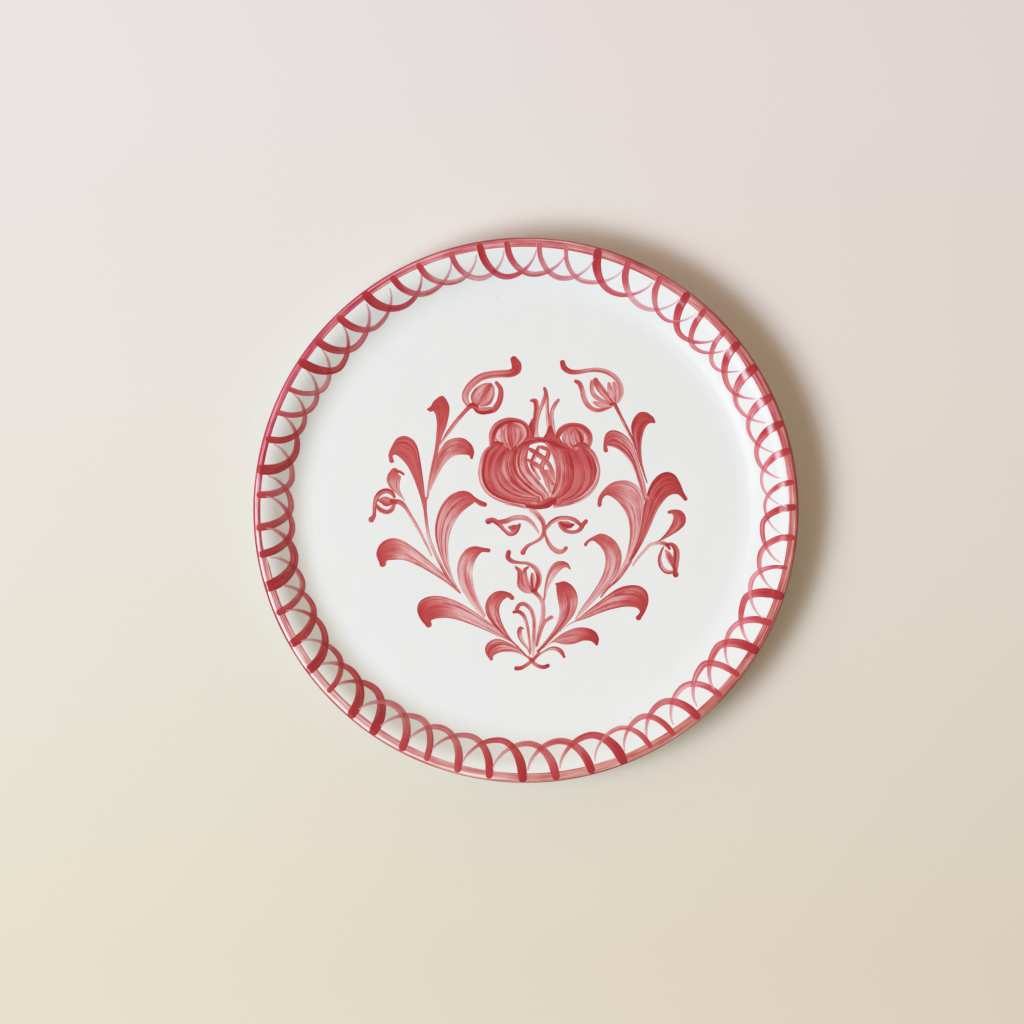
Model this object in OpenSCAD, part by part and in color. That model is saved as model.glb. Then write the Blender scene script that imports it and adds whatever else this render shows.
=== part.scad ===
// Hand-painted earthenware plate: a turned body with a foot ring, a tin glaze, and a
// pomegranate spray, a looped border and a lip band painted on the glaze in copper red.
// The face looks up +Z, and the origin is in the middle of the foot ring's lower edge.

/* [Plate] */
// Diameter over the painted lip
plate_diameter = 272; // [240:1:300]
// Diameter of the flat well that the fruit is painted on
well_diameter = 212; // [204:1:220]
// Height of the glazed well above the table
well_height = 9.3; // [8.4:0.1:12]
// Steepest slope of the wall, in degrees
wall_slope = 39; // [32:1:42]
// Radius of the curve from the well up into the wall
well_bend = 22; // [16:1:24]
// Radius of the curve from the wall over to the lip
shoulder_bend = 17; // [12:1:20]
// Radius of the rounded clay lip
lip_radius = 1.7; // [1.4:0.1:2.2]

/* [Foot] */
// Outer diameter of the foot ring
foot_diameter = 168; // [150:1:184]
// Width of the foot ring's bare edge
foot_width = 6; // [4:0.5:10]
// Height of the recess inside the foot ring
foot_recess = 3.2; // [2.6:0.1:3.4]
// Height of the bare clay left at the foot ring's edge
foot_bare = 1; // [0.6:0.1:1.6]

/* [Glaze and paint] */
// Thickness of the glaze
glaze_thickness = 0.35; // [0.2:0.05:0.6]
// Thickness of one coat of paint
paint_thickness = 0.15; // [0.1:0.05:0.2]

/* [Brush] */
// Points on each curve between two points of a stroke
stroke_steps = 4; // [2:1:6]
// Points on the round end of a stroke
tip_steps = 5; // [3:1:8]

/* [Hidden] */

$fn = 180;

clay_colour = [0.80, 0.66, 0.52];
glaze_colour = [0.92, 0.92, 0.90];
band_colour = [0.80, 0.42, 0.47];
stroke_colour = [0.72, 0.26, 0.30];

// The strokes are placed on a plate 272 mm across, and grow with it
art_scale = plate_diameter / 272;

// Heights and radii of the clay's surface, under the glaze and the paint
face_z = well_height - glaze_thickness;
well_radius = art_scale * well_diameter / 2;
foot_outer = art_scale * foot_diameter / 2;
foot_inner = foot_outer - foot_width;
foot_root = foot_recess + 0.1;

well_edge = [well_radius, face_z];
foot_edge = [foot_outer, foot_root];

// Where an arc's edge faces a direction, in degrees from +X
function rim(centre, radius, facing) = centre + radius * [cos(facing), sin(facing)];

// The lip is an arc from the shoulder, over the rim, to the back, and it starts with the slope that
// the shoulder ends with
lip_slope = 6;
lip_turn = 12;
lip_back_facing = -60;
lip_reach = lip_radius + (glaze_thickness + paint_thickness) / cos(lip_turn / 2);
lip_x = plate_diameter / 2 - lip_reach;

// The wall is an arc up from the well, a straight slope and an arc over the shoulder, all tangent
bend_end_x = well_radius + well_bend * sin(wall_slope);
shoulder_start_x = lip_x - lip_radius * sin(lip_slope)
    - shoulder_bend * (sin(wall_slope) - sin(lip_slope));
wall_rise = well_bend * (1 - cos(wall_slope))
    + (shoulder_start_x - bend_end_x) * tan(wall_slope)
    + shoulder_bend * (cos(lip_slope) - cos(wall_slope));
lip_centre = [lip_x, face_z + wall_rise - lip_radius * cos(lip_slope)];
shoulder_centre = rim(lip_centre, lip_radius - shoulder_bend, 90 + lip_slope);
plate_height = lip_centre.y + lip_reach;

wall_step = 6.5;
shoulder_step = 6.1;
bend_arc = [
    for (slope = [wall_step:wall_step:wall_slope])
    rim(well_edge + [0, well_bend], well_bend, slope - 90)
];
shoulder_arc = [
    for (slope = [wall_slope:-shoulder_step:lip_slope + shoulder_step])
    rim(shoulder_centre, shoulder_bend, 90 + slope)
];
lip_arc = [
    for (facing = [90 + lip_slope:-lip_turn:lip_back_facing])
    rim(lip_centre, lip_radius, facing)
];
lip_back = lip_arc[len(lip_arc) - 1];

// The back's curve, as fractions of its run and rise from the foot ring to the lip
back_curve = [[0.96, 0.93], [0.87, 0.69], [0.77, 0.42], [0.65, 0.22], [0.51, 0.107], [0.316, 0.04]];
back_points = [for (step = back_curve) between(foot_edge, lip_back, step)];

// The clay's surface from the middle of the face, over the lip, to the foot ring's bare edge
surface = concat(
    [[0, face_z], well_edge],
    bend_arc,
    shoulder_arc,
    lip_arc,
    back_points,
    [foot_edge, [foot_outer, foot_bare]]
);
// The clay's surface inside the foot ring
recess = [[foot_inner, foot_bare], [foot_inner, foot_recess], [0, foot_recess]];

// Places along the surface: the well's edge, where the band starts, the top of the lip that the loops
// reach, and the band's end under the rim
at_well = 1;
at_band = at_well + len(bend_arc) + len(shoulder_arc);
at_lip_top = at_band + 5;
at_band_end = at_band + 11;

// The strokes of the motif, flat on the well. A stroke is a list of points along it: three numbers are
// x, y and the brush's width, and four are x and y on each of its two edges.
// Three leaves at the lower left: small, broad and upright
leaves_left_low_strokes = [
    [[-18.2, -74.6, -16.4, -74.3], [-20, -72, -16.3, -73.1], [-20.4, -68.8, -14.8, -72],
     [-18.6, -66, -12.2, -71.1], [-14.4, -64.3, -9.2, -70.9], [-9.4, -65.8, -6, -71.1],
     [-4.6, -68.4, -3, -72], [-0.4, -71.8, 0, -73.6], [2.6, -74.8, 2.2, -75.6]],
    [[-50.2, -57.8, -47.2, -56.6], [-52.8, -54.6, -47.5, -55.5], [-54.5, -50, -46.3, -54.7],
     [-53.2, -45.8, -43.6, -54.1], [-49, -43.3, -39.5, -54], [-43, -43, -34.5, -54.9],
     [-36.5, -44.8, -29.5, -56.5], [-30.5, -47.8, -24.5, -58.4], [-24.5, -51.6, -19.8, -60.4],
     [-18.5, -55.8, -15, -62.6], [-12.5, -60.4, -10.4, -64.6], [-7, -65, -6.2, -67],
     [-2.5, -69.4, -2.4, -70.8], [1, -73.2, 0.6, -74]],
    [[-6.1, -43, -7.8, -44.7], [-8, -41.4, -9.2, -43.7], [-12, -40.3, -11, -44.8],
     [-15.8, -41.1, -12.5, -46.6], [-19, -44, -13.3, -49], [-20.4, -48.5, -13.2, -52],
     [-19.4, -53, -12.2, -55.6], [-16.6, -57.2, -10.6, -59.2], [-12.8, -61, -8.6, -62.6],
     [-8.6, -64.8, -6.4, -65.6], [-4.6, -68.2, -3.8, -68.4]],
];

// Three leaves at the middle left: outer, inner and lower
leaves_left_middle_strokes = [
    [[-73.4, -26.5, -70, -27], [-74.9, -22, -69.9, -25.8], [-73.4, -17.6, -69.2, -25.2],
     [-70.2, -14.9, -67, -24.9], [-66, -14, -63.5, -24.8], [-61, -15.5, -59.5, -25.5],
     [-55.5, -19.2, -54.8, -27.5], [-49.5, -24.2, -49.6, -30.2], [-44, -29.1, -44.8, -33.1],
     [-39, -33.6, -40, -36.2], [-35.2, -37.6, -36.2, -39.2], [-32.6, -41, -33.4, -41.6]],
    [[-20.4, 4, -20.9, 1.6], [-23.2, 5.2, -23.4, 2.4], [-25.6, 6.8, -25.6, 3.9],
     [-28.5, 9.1, -26.8, 3], [-32.5, 9.7, -29.3, 1.3], [-37.6, 7.7, -32.4, -1.4],
     [-41.8, 3.3, -35.2, -5.2], [-44.4, -2.5, -37.4, -9.6], [-45.6, -9.5, -38.7, -15.5],
     [-44.9, -16, -38.9, -21], [-43, -22.5, -38.5, -26.5], [-40.6, -28.5, -37.2, -31.5],
     [-37.4, -34.5, -35.4, -36], [-35, -38, -34, -38.5]],
    [[-18.6, -19.1, -18.9, -21.2], [-21.4, -18.7, -21.6, -21], [-25.5, -18, -23.4, -22.3],
     [-29.6, -19.3, -25, -24.6], [-32.6, -22.9, -26.3, -27.8], [-34.3, -28, -26.8, -31],
     [-34, -34.5, -26.5, -35], [-32, -40, -25.7, -39.6], [-28.8, -45, -24.1, -44.4],
     [-25.2, -49.6, -22, -48.8], [-22, -53.2, -20.2, -52.2]],
];

// Three leaves at the upper left, and the stem that they share
leaves_left_high_strokes = [
    [[-68.5, 25.2, -65.9, 24.6], [-68.8, 28, -66.7, 27], [-67.2, 32, -65.4, 27.8],
     [-64.6, 36, -63.5, 26.7], [-60.5, 37.2, -61.3, 24.6], [-56.4, 35.2, -59.4, 22.2],
     [-54.2, 31.5, -57.7, 19], [-52.8, 25, -56.1, 15.6], [-51.6, 17, -54.4, 11],
     [-50.6, 8.5, -52.6, 5.5], [-50, 0, -51.1, -1], [-49.6, -4, -50.3, -4]],
    [[-49.2, 51, -49, 50], [-47.5, 52.3, -48, 49.2], [-46, 54.8, -46.4, 49.5],
     [-41.8, 57.3, -45.4, 48], [-38.6, 53, -44.9, 46], [-38.4, 48.5, -44.6, 42.5],
     [-39.8, 42, -44.9, 38], [-42.2, 36, -45.4, 33], [-44.2, 28, -46.4, 27], [-45.6, 22, -47.6, 21.5],
     [-47.5, 14, -49, 14], [-48.8, 6, -50, 6]],
    [[-26.4, 26.4, -28, 26.2], [-25.9, 29.4, -28.4, 27.3], [-27.3, 33, -30.5, 27.8],
     [-31, 35.9, -33.5, 27.8], [-35.2, 36.2, -36.3, 27], [-39.6, 34.6, -39.2, 24.9],
     [-42.6, 31, -41.6, 21.9], [-45, 26, -43.8, 18], [-47.2, 18.5, -46, 13.5],
     [-48.6, 11.8, -47.4, 10.2]],
    [[-50.1, 6, 1.4], [-50.4, 1, 1.7], [-50, -4, 1.7], [-49.4, -9, 1.7], [-48.4, -14.1, 1.7],
     [-46.4, -19.4, 1.6], [-44, -24.7, 1.6], [-41.1, -30.2, 1.5], [-38.3, -34.7, 1.4],
     [-35.2, -38.2, 1.2]],
];

// Carnation bud at the top left: stem, outer curl, inner curl, petals and knot
bud_top_left_strokes = [
    [[-28, 52, 2.4], [-31, 48.9, 2], [-35, 44.2, 2], [-38.5, 39.6, 1.9], [-41, 36, 1.4],
     [-43.2, 32.5, 1]],
    [[-6, 75.4, 3.6], [-4.7, 72.6, 5], [-5, 70, 4.6], [-8, 68.5, 4], [-12.5, 68.3, 3.7],
     [-18, 67.8, 3.6], [-22.8, 66.4, 3.7], [-27, 63.2, 3.7], [-29.8, 59.5, 3.5], [-30.4, 56, 3.3],
     [-29, 53, 2.4]],
    [[-14.8, 63.8, 1.8], [-12.8, 61, 2.4], [-12.6, 57.5, 2.8], [-13.6, 53.8, 3], [-15.8, 50.6, 3],
     [-18.6, 49.2, 2.2]],
    [[-25.8, 54, 2.5], [-26, 57, 3.2], [-24, 60, 3.4], [-20.5, 62.3, 2.6], [-17.6, 63, 1.6]],
    [[-22.5, 52.8, 2], [-19.3, 54.2, 3.6], [-17.4, 57.5, 3.2], [-17, 61, 2.4], [-17.4, 63, 1.2]],
    [[-24.5, 53.2, 2.6], [-22.3, 56, 4], [-20, 59.5, 4.6], [-18.2, 62.2, 3]],
    [[-26.2, 52.6, 2.2], [-24, 50.2, 3.2], [-21, 49.7, 3.8], [-18, 50.2, 3.2]],
    [[-28, 52.2, 2.4], [-26.4, 52.4, 3.2], [-24.8, 51.8, 2.4]],
];

// Bud at the left: small leaf, sepal, stem, outer curl and petals
bud_side_left_strokes = [
    [[-67.5, 20.3, -64, 17.9], [-69.3, 17.5, -62.6, 16.9], [-69.6, 14.5, -63.1, 14],
     [-68.3, 11.6, -63.3, 11.6], [-66, 9.3, -62.6, 9.2], [-63.6, 7.2, -61.7, 7],
     [-61.3, 5, -60.5, 4.8]],
    [[-61.3, 18.1, 1.3], [-63, 19.3, 1.5], [-65, 19.8, 1.6]],
    [[-66.5, 4.2, 2.6], [-63.2, 4, 2.6], [-60.5, 1.7, 2.1], [-57.7, -2.9, 1.7], [-54.6, -8, 1.6],
     [-51.9, -13, 1.4], [-49.3, -18.2, 1.2], [-47.2, -22.8, 0.8]],
    [[-77.4, -4.7, 3], [-76, -2.6, 2], [-75.8, 1.5, 1.9], [-75, 5.8, 2.3], [-72.9, 8.6, 2.6],
     [-70, 9.7, 2.6], [-67.4, 8.8, 2.5], [-65.9, 6.6, 1.6]],
    [[-74.6, 2.2, 1.8], [-72.8, 0.2, 2.4], [-69.8, -0.9, 2.5], [-67.2, 0.2, 2.4], [-66.1, 2.8, 2]],
    [[-73.6, 4.9, 1.4], [-71.4, 4.8, 4.2], [-69.4, 4.3, 4.8], [-67, 4.4, 3]],
    [[-67.4, 4.6, 2], [-65.8, 4.3, 2.6]],
];

// Stems that rise from the knot at the bottom, with one broad leaf
base_spray_strokes = [
    [[-1.5, -59.2, 1], [-2.9, -59.2, 1.9], [-3.2, -61.5, 2.6], [-2.6, -64.2, 2.1], [-1.2, -66.6, 1.6],
     [0.8, -69, 1.2], [2, -71.5, 1]],
    [[-6, -51, 1.6], [-3.6, -50.8, 2], [-1, -53, 1.9], [0.4, -57, 1.7], [1.2, -61.5, 1.6],
     [1.8, -66, 1.4], [2.1, -70, 1.3], [1.9, -72, 1]],
    [[-4.6, -49.6, 2], [-3.2, -47.4, 2], [-0.6, -47.1, 2.1], [2.2, -49.4, 2.1], [3.8, -53.4, 2],
     [4.2, -58, 2], [4, -63, 2], [3.8, -68, 1.9], [3.4, -72.5, 1.4]],
    [[12.8, -53.6, 1.9], [10.8, -54.8, 1.9], [9.2, -56.4, 1.7], [7.6, -60, 1.6], [6.6, -63.5, 1.5],
     [5.6, -67.5, 1.1]],
    [[22.2, -28.6, 21.6, -29.6], [21.2, -26.7, 20.2, -28.6], [18.8, -25.5, 18.4, -29.2],
     [15.4, -25.7, 16, -31.4], [12.4, -28.2, 13.8, -34.4], [10.4, -32.6, 12, -37.4],
     [9.3, -38, 10.7, -40.4], [8.8, -43, 9.9, -43.8], [8.6, -46, 9.2, -46]],
    [[15.6, -36.4, 15.1, -37.6], [19.4, -35.6, 15.2, -39.6], [23.2, -37.8, 15.6, -43],
     [25.6, -42, 16.4, -47], [25.8, -47.2, 16.8, -50.8], [24, -52.2, 16.2, -54.4],
     [20.8, -56.4, 14.8, -58], [17, -60.6, 12.6, -61.6], [13, -64.6, 10, -65], [9.4, -68.2, 7.6, -68],
     [6.8, -71, 5.4, -70.2]],
    [[19.6, -72.8, 18.5, -73.9], [19, -71, 17.2, -72], [17.8, -69.4, 15.4, -70.6],
     [15, -68.2, 13.4, -70.1], [11.8, -68.6, 11.2, -70.3], [8.4, -70.6, 8.4, -71.7],
     [5.4, -72.8, 5.8, -73.8], [3, -75, 3.4, -75.6]],
];

// Drooping tulip below the fruit: stem, cap, petals and knot
low_tulip_strokes = [
    [[3.6, -40.4, 2.4], [6.4, -43, 2], [8.2, -46, 2.2], [8.7, -50, 2.2], [8.3, -54.5, 2.2],
     [7, -59.5, 1.8], [6, -64, 1.5], [5.3, -68, 1]],
    [[-8.6, -21, 2.4], [-9, -23.6, 2.5], [-6.8, -25.6, 2.2], [-3, -26.3, 1.6], [1, -26.7, 1.9],
     [4.8, -29.2, 2.6], [6.5, -33, 2.9], [6.2, -37, 2.7], [4.6, -39.8, 2]],
    [[3.2, -32, 1.6], [3.4, -34.5, 2.6], [3.6, -37.5, 2.6], [3.9, -40, 2]],
    [[1, -28.6, 1.2], [-0.6, -30.2, 2], [-0.4, -34, 3], [0.8, -37.4, 3.2], [3, -40.2, 2.2]],
    [[-5, -28.6, 1.4], [-3.2, -30.6, 2.4], [-2.8, -34, 3], [-2.5, -37.5, 3.6], [0, -40, 3],
     [3.2, -40.8, 1.8]],
    [[3.6, -40.2, 2.6], [5, -39.8, 2]],
];

// Ends of the stems, crossed below the knot
knot_tails_strokes = [
    [[6.5, -71.5, 1.4], [4.6, -73.8, 1.8], [2.8, -75.6, 1.8], [0.4, -77.4, 1.9], [-2.4, -79, 2],
     [-4.8, -79.2, 2.3]],
    [[1, -73.4, 1.4], [2.5, -75, 1.6], [5, -77.4, 1.9], [8.5, -78.6, 2], [11, -77.9, 2.1]],
    [[2.6, -74.6, 1.8], [3.6, -75.4, 1.8]],
];

// Two leaves at the lower right
leaves_right_low_strokes = [
    [[36.2, -66.8, 34.6, -67.2], [36.6, -64.4, 33, -65.8], [35, -61, 30.8, -65.3],
     [31.4, -59.1, 28, -65.5], [26.5, -58.7, 24.6, -66.8], [21.8, -59.9, 20.8, -67.3],
     [18, -61.9, 17.4, -66.9], [15, -64, 14.6, -66.2], [12.4, -66, 12.2, -66.8],
     [8.5, -69, 8.2, -69.6], [5, -72.4, 4.8, -73]],
    [[57.6, -54.4, 55.1, -53.2], [60, -50.2, 57, -51], [61.4, -45.6, 55.6, -49],
     [60.6, -41, 52.6, -48.4], [57, -38, 49, -48.4], [51.6, -37.6, 44.8, -49.2],
     [46, -39.2, 40.2, -50.4], [40.8, -42.6, 35.8, -52], [35.6, -46.6, 31.8, -53.6],
     [30.6, -50.4, 27.8, -55], [25.6, -54.6, 24, -56.2], [21, -57.4, 20.4, -58.2],
     [17.6, -60.4, 17.2, -60.8]],
];

// Three leaves at the middle right, and the stem that they share
leaves_right_middle_strokes = [
    [[29.4, -16.4, 30.4, -18], [31.2, -14.6, 31.6, -16.1], [34.4, -12.8, 33.6, -15.3],
     [37.8, -11.7, 35.6, -16.6], [42, -13.2, 37.8, -18.8], [45.8, -16.8, 39.4, -22],
     [47.9, -22, 39.8, -26], [47.6, -27.4, 39, -30.4], [46, -32, 37.6, -34], [43, -36, 35.4, -38],
     [39.4, -40, 32.6, -42.2], [35, -44.6, 29.6, -46.4], [30.4, -49.4, 26.6, -50.6],
     [25.8, -54, 24.6, -54.6]],
    [[35.8, 2.8, 37.9, 2.5], [36.2, 6.2, 38.4, 5.6], [38.6, 10, 40.4, 7.4], [42.6, 13.5, 43.4, 6.4],
     [47.4, 14.9, 46.6, 3.6], [52, 14.4, 49.2, 0], [56, 11.8, 51, -3.8], [58.4, 7.6, 51.9, -8.4],
     [59.2, 1, 52, -13.4], [58.6, -6, 51.4, -17.6], [57, -13, 50.6, -21.4], [54.2, -19.6, 49.4, -25],
     [51.2, -25.4, 47.6, -28.8], [47.8, -31, 45.4, -32.6]],
    [[80.6, 6.4, 79.2, 4.9], [79, 9.2, 77.2, 7.1], [77.4, 13.2, 75.4, 8], [74.6, 17.7, 73, 7.8],
     [70.8, 19.2, 70.6, 6.4], [67, 18, 68.2, 3.6], [63.8, 15, 66, 0.2], [61.4, 10.6, 64.2, -3.6],
     [59.8, 5, 62.6, -7.6], [58.4, -1.5, 60.8, -11.6], [57.2, -8.5, 58.9, -15.4],
     [55.8, -15, 56.6, -19.6], [53.6, -21, 54.2, -23.6], [51.6, -25, 52.4, -25.8]],
    [[52.5, -25.5, 1.4], [50, -29, 1.8], [47, -33, 2], [44.5, -36, 1.5], [41.5, -38.6, 1.2],
     [39, -41.5, 1], [37.5, -43.5, 0.8]],
];

// Two leaves at the upper right
leaves_right_high_strokes = [
    [[38.8, 30.2, 41.3, 30], [38.8, 33.4, 40.8, 32.1], [39.8, 37.8, 43.4, 31.7], [42.6, 40, 46, 30.6],
     [46.4, 39.5, 48.8, 28.3], [50.4, 37, 51.3, 25.3], [53.4, 33, 53.3, 21.9], [55.4, 28, 54.9, 18],
     [57.2, 21.4, 56.2, 14], [59.4, 14, 57.8, 9], [60.4, 8, 59.2, 4.4]],
    [[64.6, 45, 63.4, 43.7], [63.6, 46.8, 61.8, 43.4], [60.4, 49, 60.2, 41.9], [56.8, 48.9, 59, 39.2],
     [54, 46, 58.2, 36], [52.6, 41.6, 57.8, 32], [53.6, 36, 57.9, 28], [55, 30, 58.4, 23.6],
     [56.8, 23.6, 59.4, 19.2], [59, 17.4, 60.6, 15], [60.4, 13.6, 60.9, 13.6]],
];

// Carnation bud at the top right: stem, outer curl, inner curl, petals and knot
bud_top_right_strokes = [
    [[44.5, 53, 2], [46, 50, 1.7], [48, 46, 1.6], [50, 42, 1.7], [52, 38, 1.6], [53.5, 35, 1.4],
     [55, 31, 1.2]],
    [[18.3, 73.9, 2.7], [19.3, 71.2, 2.9], [22.4, 69.3, 2.6], [26.5, 69.2, 2.3], [31.5, 70, 2.1],
     [36, 70.2, 2.3], [40.5, 69.2, 2.4], [44.6, 66.6, 2.5], [47.2, 62.6, 2.5], [47.6, 58.2, 2.7],
     [46.2, 54.2, 1.2]],
    [[24.9, 64.6, 1.8], [26.8, 63.4, 2.4], [28.2, 60, 2.5], [29, 56.4, 2.7], [30.6, 53.2, 2.6],
     [33.2, 50.9, 2.3], [36.2, 50, 2.1], [39.5, 50.6, 1.6], [42.6, 51.7, 1]],
    [[44, 63.6, 1.8], [45, 60, 3.2], [45.2, 57, 3], [45, 54.2, 1.8]],
    [[41.6, 63.4, 1.6], [42.2, 60, 3], [43.2, 57, 3.6], [44.2, 54.4, 2.4]],
    [[34.2, 54, 1.6], [36.4, 53, 2.6], [39, 52.3, 2.4], [42.4, 52.3, 1.6]],
    [[33.2, 64.2, 2.2], [33, 60.6, 2.2], [34.2, 57.6, 2.4], [37, 55.4, 2.2], [40, 54, 1.8],
     [43, 52.9, 1.2]],
    [[36.2, 65.2, 33.6, 65], [38.4, 62.4, 34.4, 62], [40.8, 59, 36.6, 58.6], [43, 55.8, 39.8, 55.4],
     [44.6, 53.4, 43, 52.8]],
    [[42.6, 53, 1.8], [44.4, 53.2, 2.2]],
];

// Bud at the right: small leaf, stem, outer curl, petals, inner curl and knot
bud_side_right_strokes = [
    [[71.5, -0.2, 71.9, -1.8], [74.4, 0.4, 73.4, -2], [77.6, -0.2, 73.8, -3.8],
     [79.8, -2.8, 73.2, -6.2], [79.8, -6.6, 72, -8.6], [77, -9.8, 70.5, -10.8],
     [73, -12.4, 68.8, -12.9], [69, -14.6, 67, -14.7], [65.4, -16, 65, -15.9]],
    [[53.5, -27.6, 1], [56, -24, 1.2], [59.5, -20, 1.4], [62, -17.5, 1.6], [65, -16.6, 1.8],
     [68, -16.4, 2], [70.5, -17.3, 2.2]],
    [[70.6, -16.9, 1.2], [73.4, -17.4, 2.2], [75.2, -20, 3], [75.3, -24, 3.2], [74.9, -28, 2.8],
     [74.7, -30.4, 2.4], [75, -32.2, 3]],
    [[70, -20.4, 1.4], [71.2, -22.2, 3], [72.6, -25, 3.2], [73.8, -27.8, 2.2], [74.5, -30, 1.6]],
    [[68.8, -18.6, 0.9], [67.5, -21.5, 1.3], [66.9, -25, 1.9], [68, -28.6, 2.2], [70.6, -30.9, 2.1],
     [73.4, -31, 1.6]],
    [[70.8, -17.6, 1.8], [72, -19.4, 1.2]],
];

// Curled tendril to the left of the fruit's foot
scroll_left_strokes = [
    [[2.6, 0.2, 2.6], [5.6, -2.2, 2.8], [8, -5.2, 2.6], [9, -8.4, 2.4], [8.9, -11.6, 2.2],
     [7, -14.4, 1.8], [3.8, -16.3, 1.4], [1, -17.8, 1.7], [-0.8, -19.9, 2.1], [-1.5, -21.2, 2.6]],
    [[-14, -5.6, 1.6], [-10.6, -5.6, 2.6], [-7, -4.2, 2.6], [-3.4, -3.6, 2.6], [0.2, -4.2, 2.4],
     [3.2, -6.6, 2], [5.2, -9.4, 1.4], [6.4, -11.4, 0.7]],
    [[-8.2, -8.6, 1.6], [-6.6, -9, 3.6], [-5, -9, 3.8], [-3.4, -7.6, 1.6]],
    [[-18.9, -5.6, 3], [-16.6, -5, 2.6], [-13.6, -6.8, 2.6], [-11, -9.8, 1.8], [-8.4, -11.8, 2.2],
     [-5.6, -11.2, 2.4], [-3.8, -8.6, 2], [-3.2, -7.2, 1.4]],
];

// Curled tendril to the right of the fruit's foot
scroll_right_strokes = [
    [[9.6, -11.8, 1], [10.8, -15.4, 1.8], [13, -18.8, 2.4], [16, -20.7, 2.6], [18.4, -20.6, 2],
     [20, -19, 2]],
    [[17.6, -6.4, 2], [19.8, -7.2, 4], [22, -7.6, 3.2], [23.8, -7.2, 1.2]],
    [[10.2, -9, 1.6], [12.6, -6.2, 2.1], [16.2, -4.2, 2.2], [20.4, -3.8, 2], [24.2, -4.8, 2.1],
     [27, -7, 2]],
    [[30, -5.6, 2.2], [28.6, -7.2, 2.2], [27.4, -9.2, 2.2], [25.6, -10.6, 1.8], [22.8, -11, 1.8],
     [19.6, -10.2, 1.8], [17.4, -8.2, 1.6], [16.4, -6.2, 1.2]],
];

// Crown of the fruit: two sides, three stamens and two shadows
pomegranate_crown_strokes = [
    [[2.6, 54.9, 1.4], [4.6, 54.6, 2.6], [5.2, 51.6, 2.6], [4.8, 48, 2.4], [4.4, 44.6, 2.4],
     [3.4, 41, 3], [2.6, 37.6, 3.6]],
    [[16.2, 55.1, 1.6], [14.4, 52.6, 2], [13, 49, 2], [12.8, 45, 2.6], [13.4, 41, 2.4],
     [14.6, 37.6, 1.6]],
    [[9.6, 60.4, 1.6], [10.4, 56.6, 2], [10.6, 52, 1.8], [10.8, 47, 1.8], [11, 42, 1.8]],
    [[9.3, 60.9, 1.7], [10, 58, 2.2], [8.6, 54, 2], [7, 50, 1.8], [5.6, 45, 1.8], [5.2, 40, 1.8],
     [5.8, 36.2, 1.6]],
    [[10.8, 41.2, 13.4, 41.2], [10, 38.4, 14.8, 38.2], [8.8, 36, 17, 36], [11.4, 33.8, 18, 33.4]],
    [[3.6, 45, 2], [2.8, 41.4, 3.4], [2, 37.6, 4]],
];

// Rind of the fruit: two outlines, then shading strokes from the outside in
pomegranate_fruit_strokes = [
    [[-17, 32.4, 1.6], [-20.6, 28.6, 2], [-22.6, 22.5, 2], [-22.8, 16.5, 2], [-20.8, 11, 2],
     [-16.5, 7, 2], [-10.5, 4.4, 1.8], [-3.5, 2.8, 1.6], [1, 1.6, 1.6]],
    [[31, 31.2, 1.6], [33.6, 28.4, 2], [35.4, 24.6, 1.8], [36.4, 19.6, 1.7], [35, 13.6, 2],
     [31.2, 8.4, 2.4], [26, 5, 2.2], [20, 3, 2], [15, 2.2, 1.4]],
    [[-14.5, 32.4, 3], [-18.6, 28.5, 4.2], [-20.5, 21.5, 4], [-20, 14.5, 4], [-16.5, 9.4, 4],
     [-10, 6, 3.4], [-3, 4.2, 2.6], [3, 3.4, 2.4]],
    [[-12, 31, 4], [-16, 26, 4.6], [-17.4, 20, 3.6], [-16.4, 14.4, 3.4], [-12.5, 9.6, 3.2],
     [-6.5, 6.6, 2.6], [1, 5.4, 2.2], [6, 5, 2]],
    [[-8.5, 30.6, 4.4], [-12.4, 25.5, 4.6], [-14.2, 19.6, 3.4], [-12.6, 14, 3], [-8.5, 9.8, 2.8],
     [-3, 7.4, 2.4], [4, 6.2, 1.8]],
    [[-11, 31, 2, 33], [-13.5, 26, 1, 28.6], [-14, 20.5, 0.7, 24.4], [-12, 15, 2.2, 20],
     [-8, 10.6, 6, 15.4], [-2.5, 7.8, 9.4, 11.2], [4, 6, 11.6, 7.8]],
    [[31.5, 30, 24, 30], [34.6, 25.6, 26, 25], [35.8, 19.6, 27.6, 19], [34.4, 13.8, 27.2, 13],
     [30, 8.6, 24, 8.2], [24, 5, 18, 5], [17, 3.4, 13, 4]],
    [[25.6, 30.4, 18, 30], [28, 25, 19, 25], [29, 19, 19.8, 19], [28.2, 13, 18.8, 13], [25, 8, 16, 9],
     [18.6, 4.9, 12.6, 6]],
    [[18.6, 31.6, 10.8, 33.4], [20.2, 26, 13, 28.4], [20.8, 20, 14.8, 22], [20, 14, 14.8, 15],
     [17.6, 8.8, 13.4, 9.8], [14, 5.6, 11.8, 7]],
    [[-9, 31, 3.4], [-4, 32.6, 4.6], [0.6, 34.4, 4.4], [5, 35.2, 3.2], [9, 35.1, 2.8], [14, 33.6, 4.2],
     [19.5, 31.2, 3.8]],
];

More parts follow.
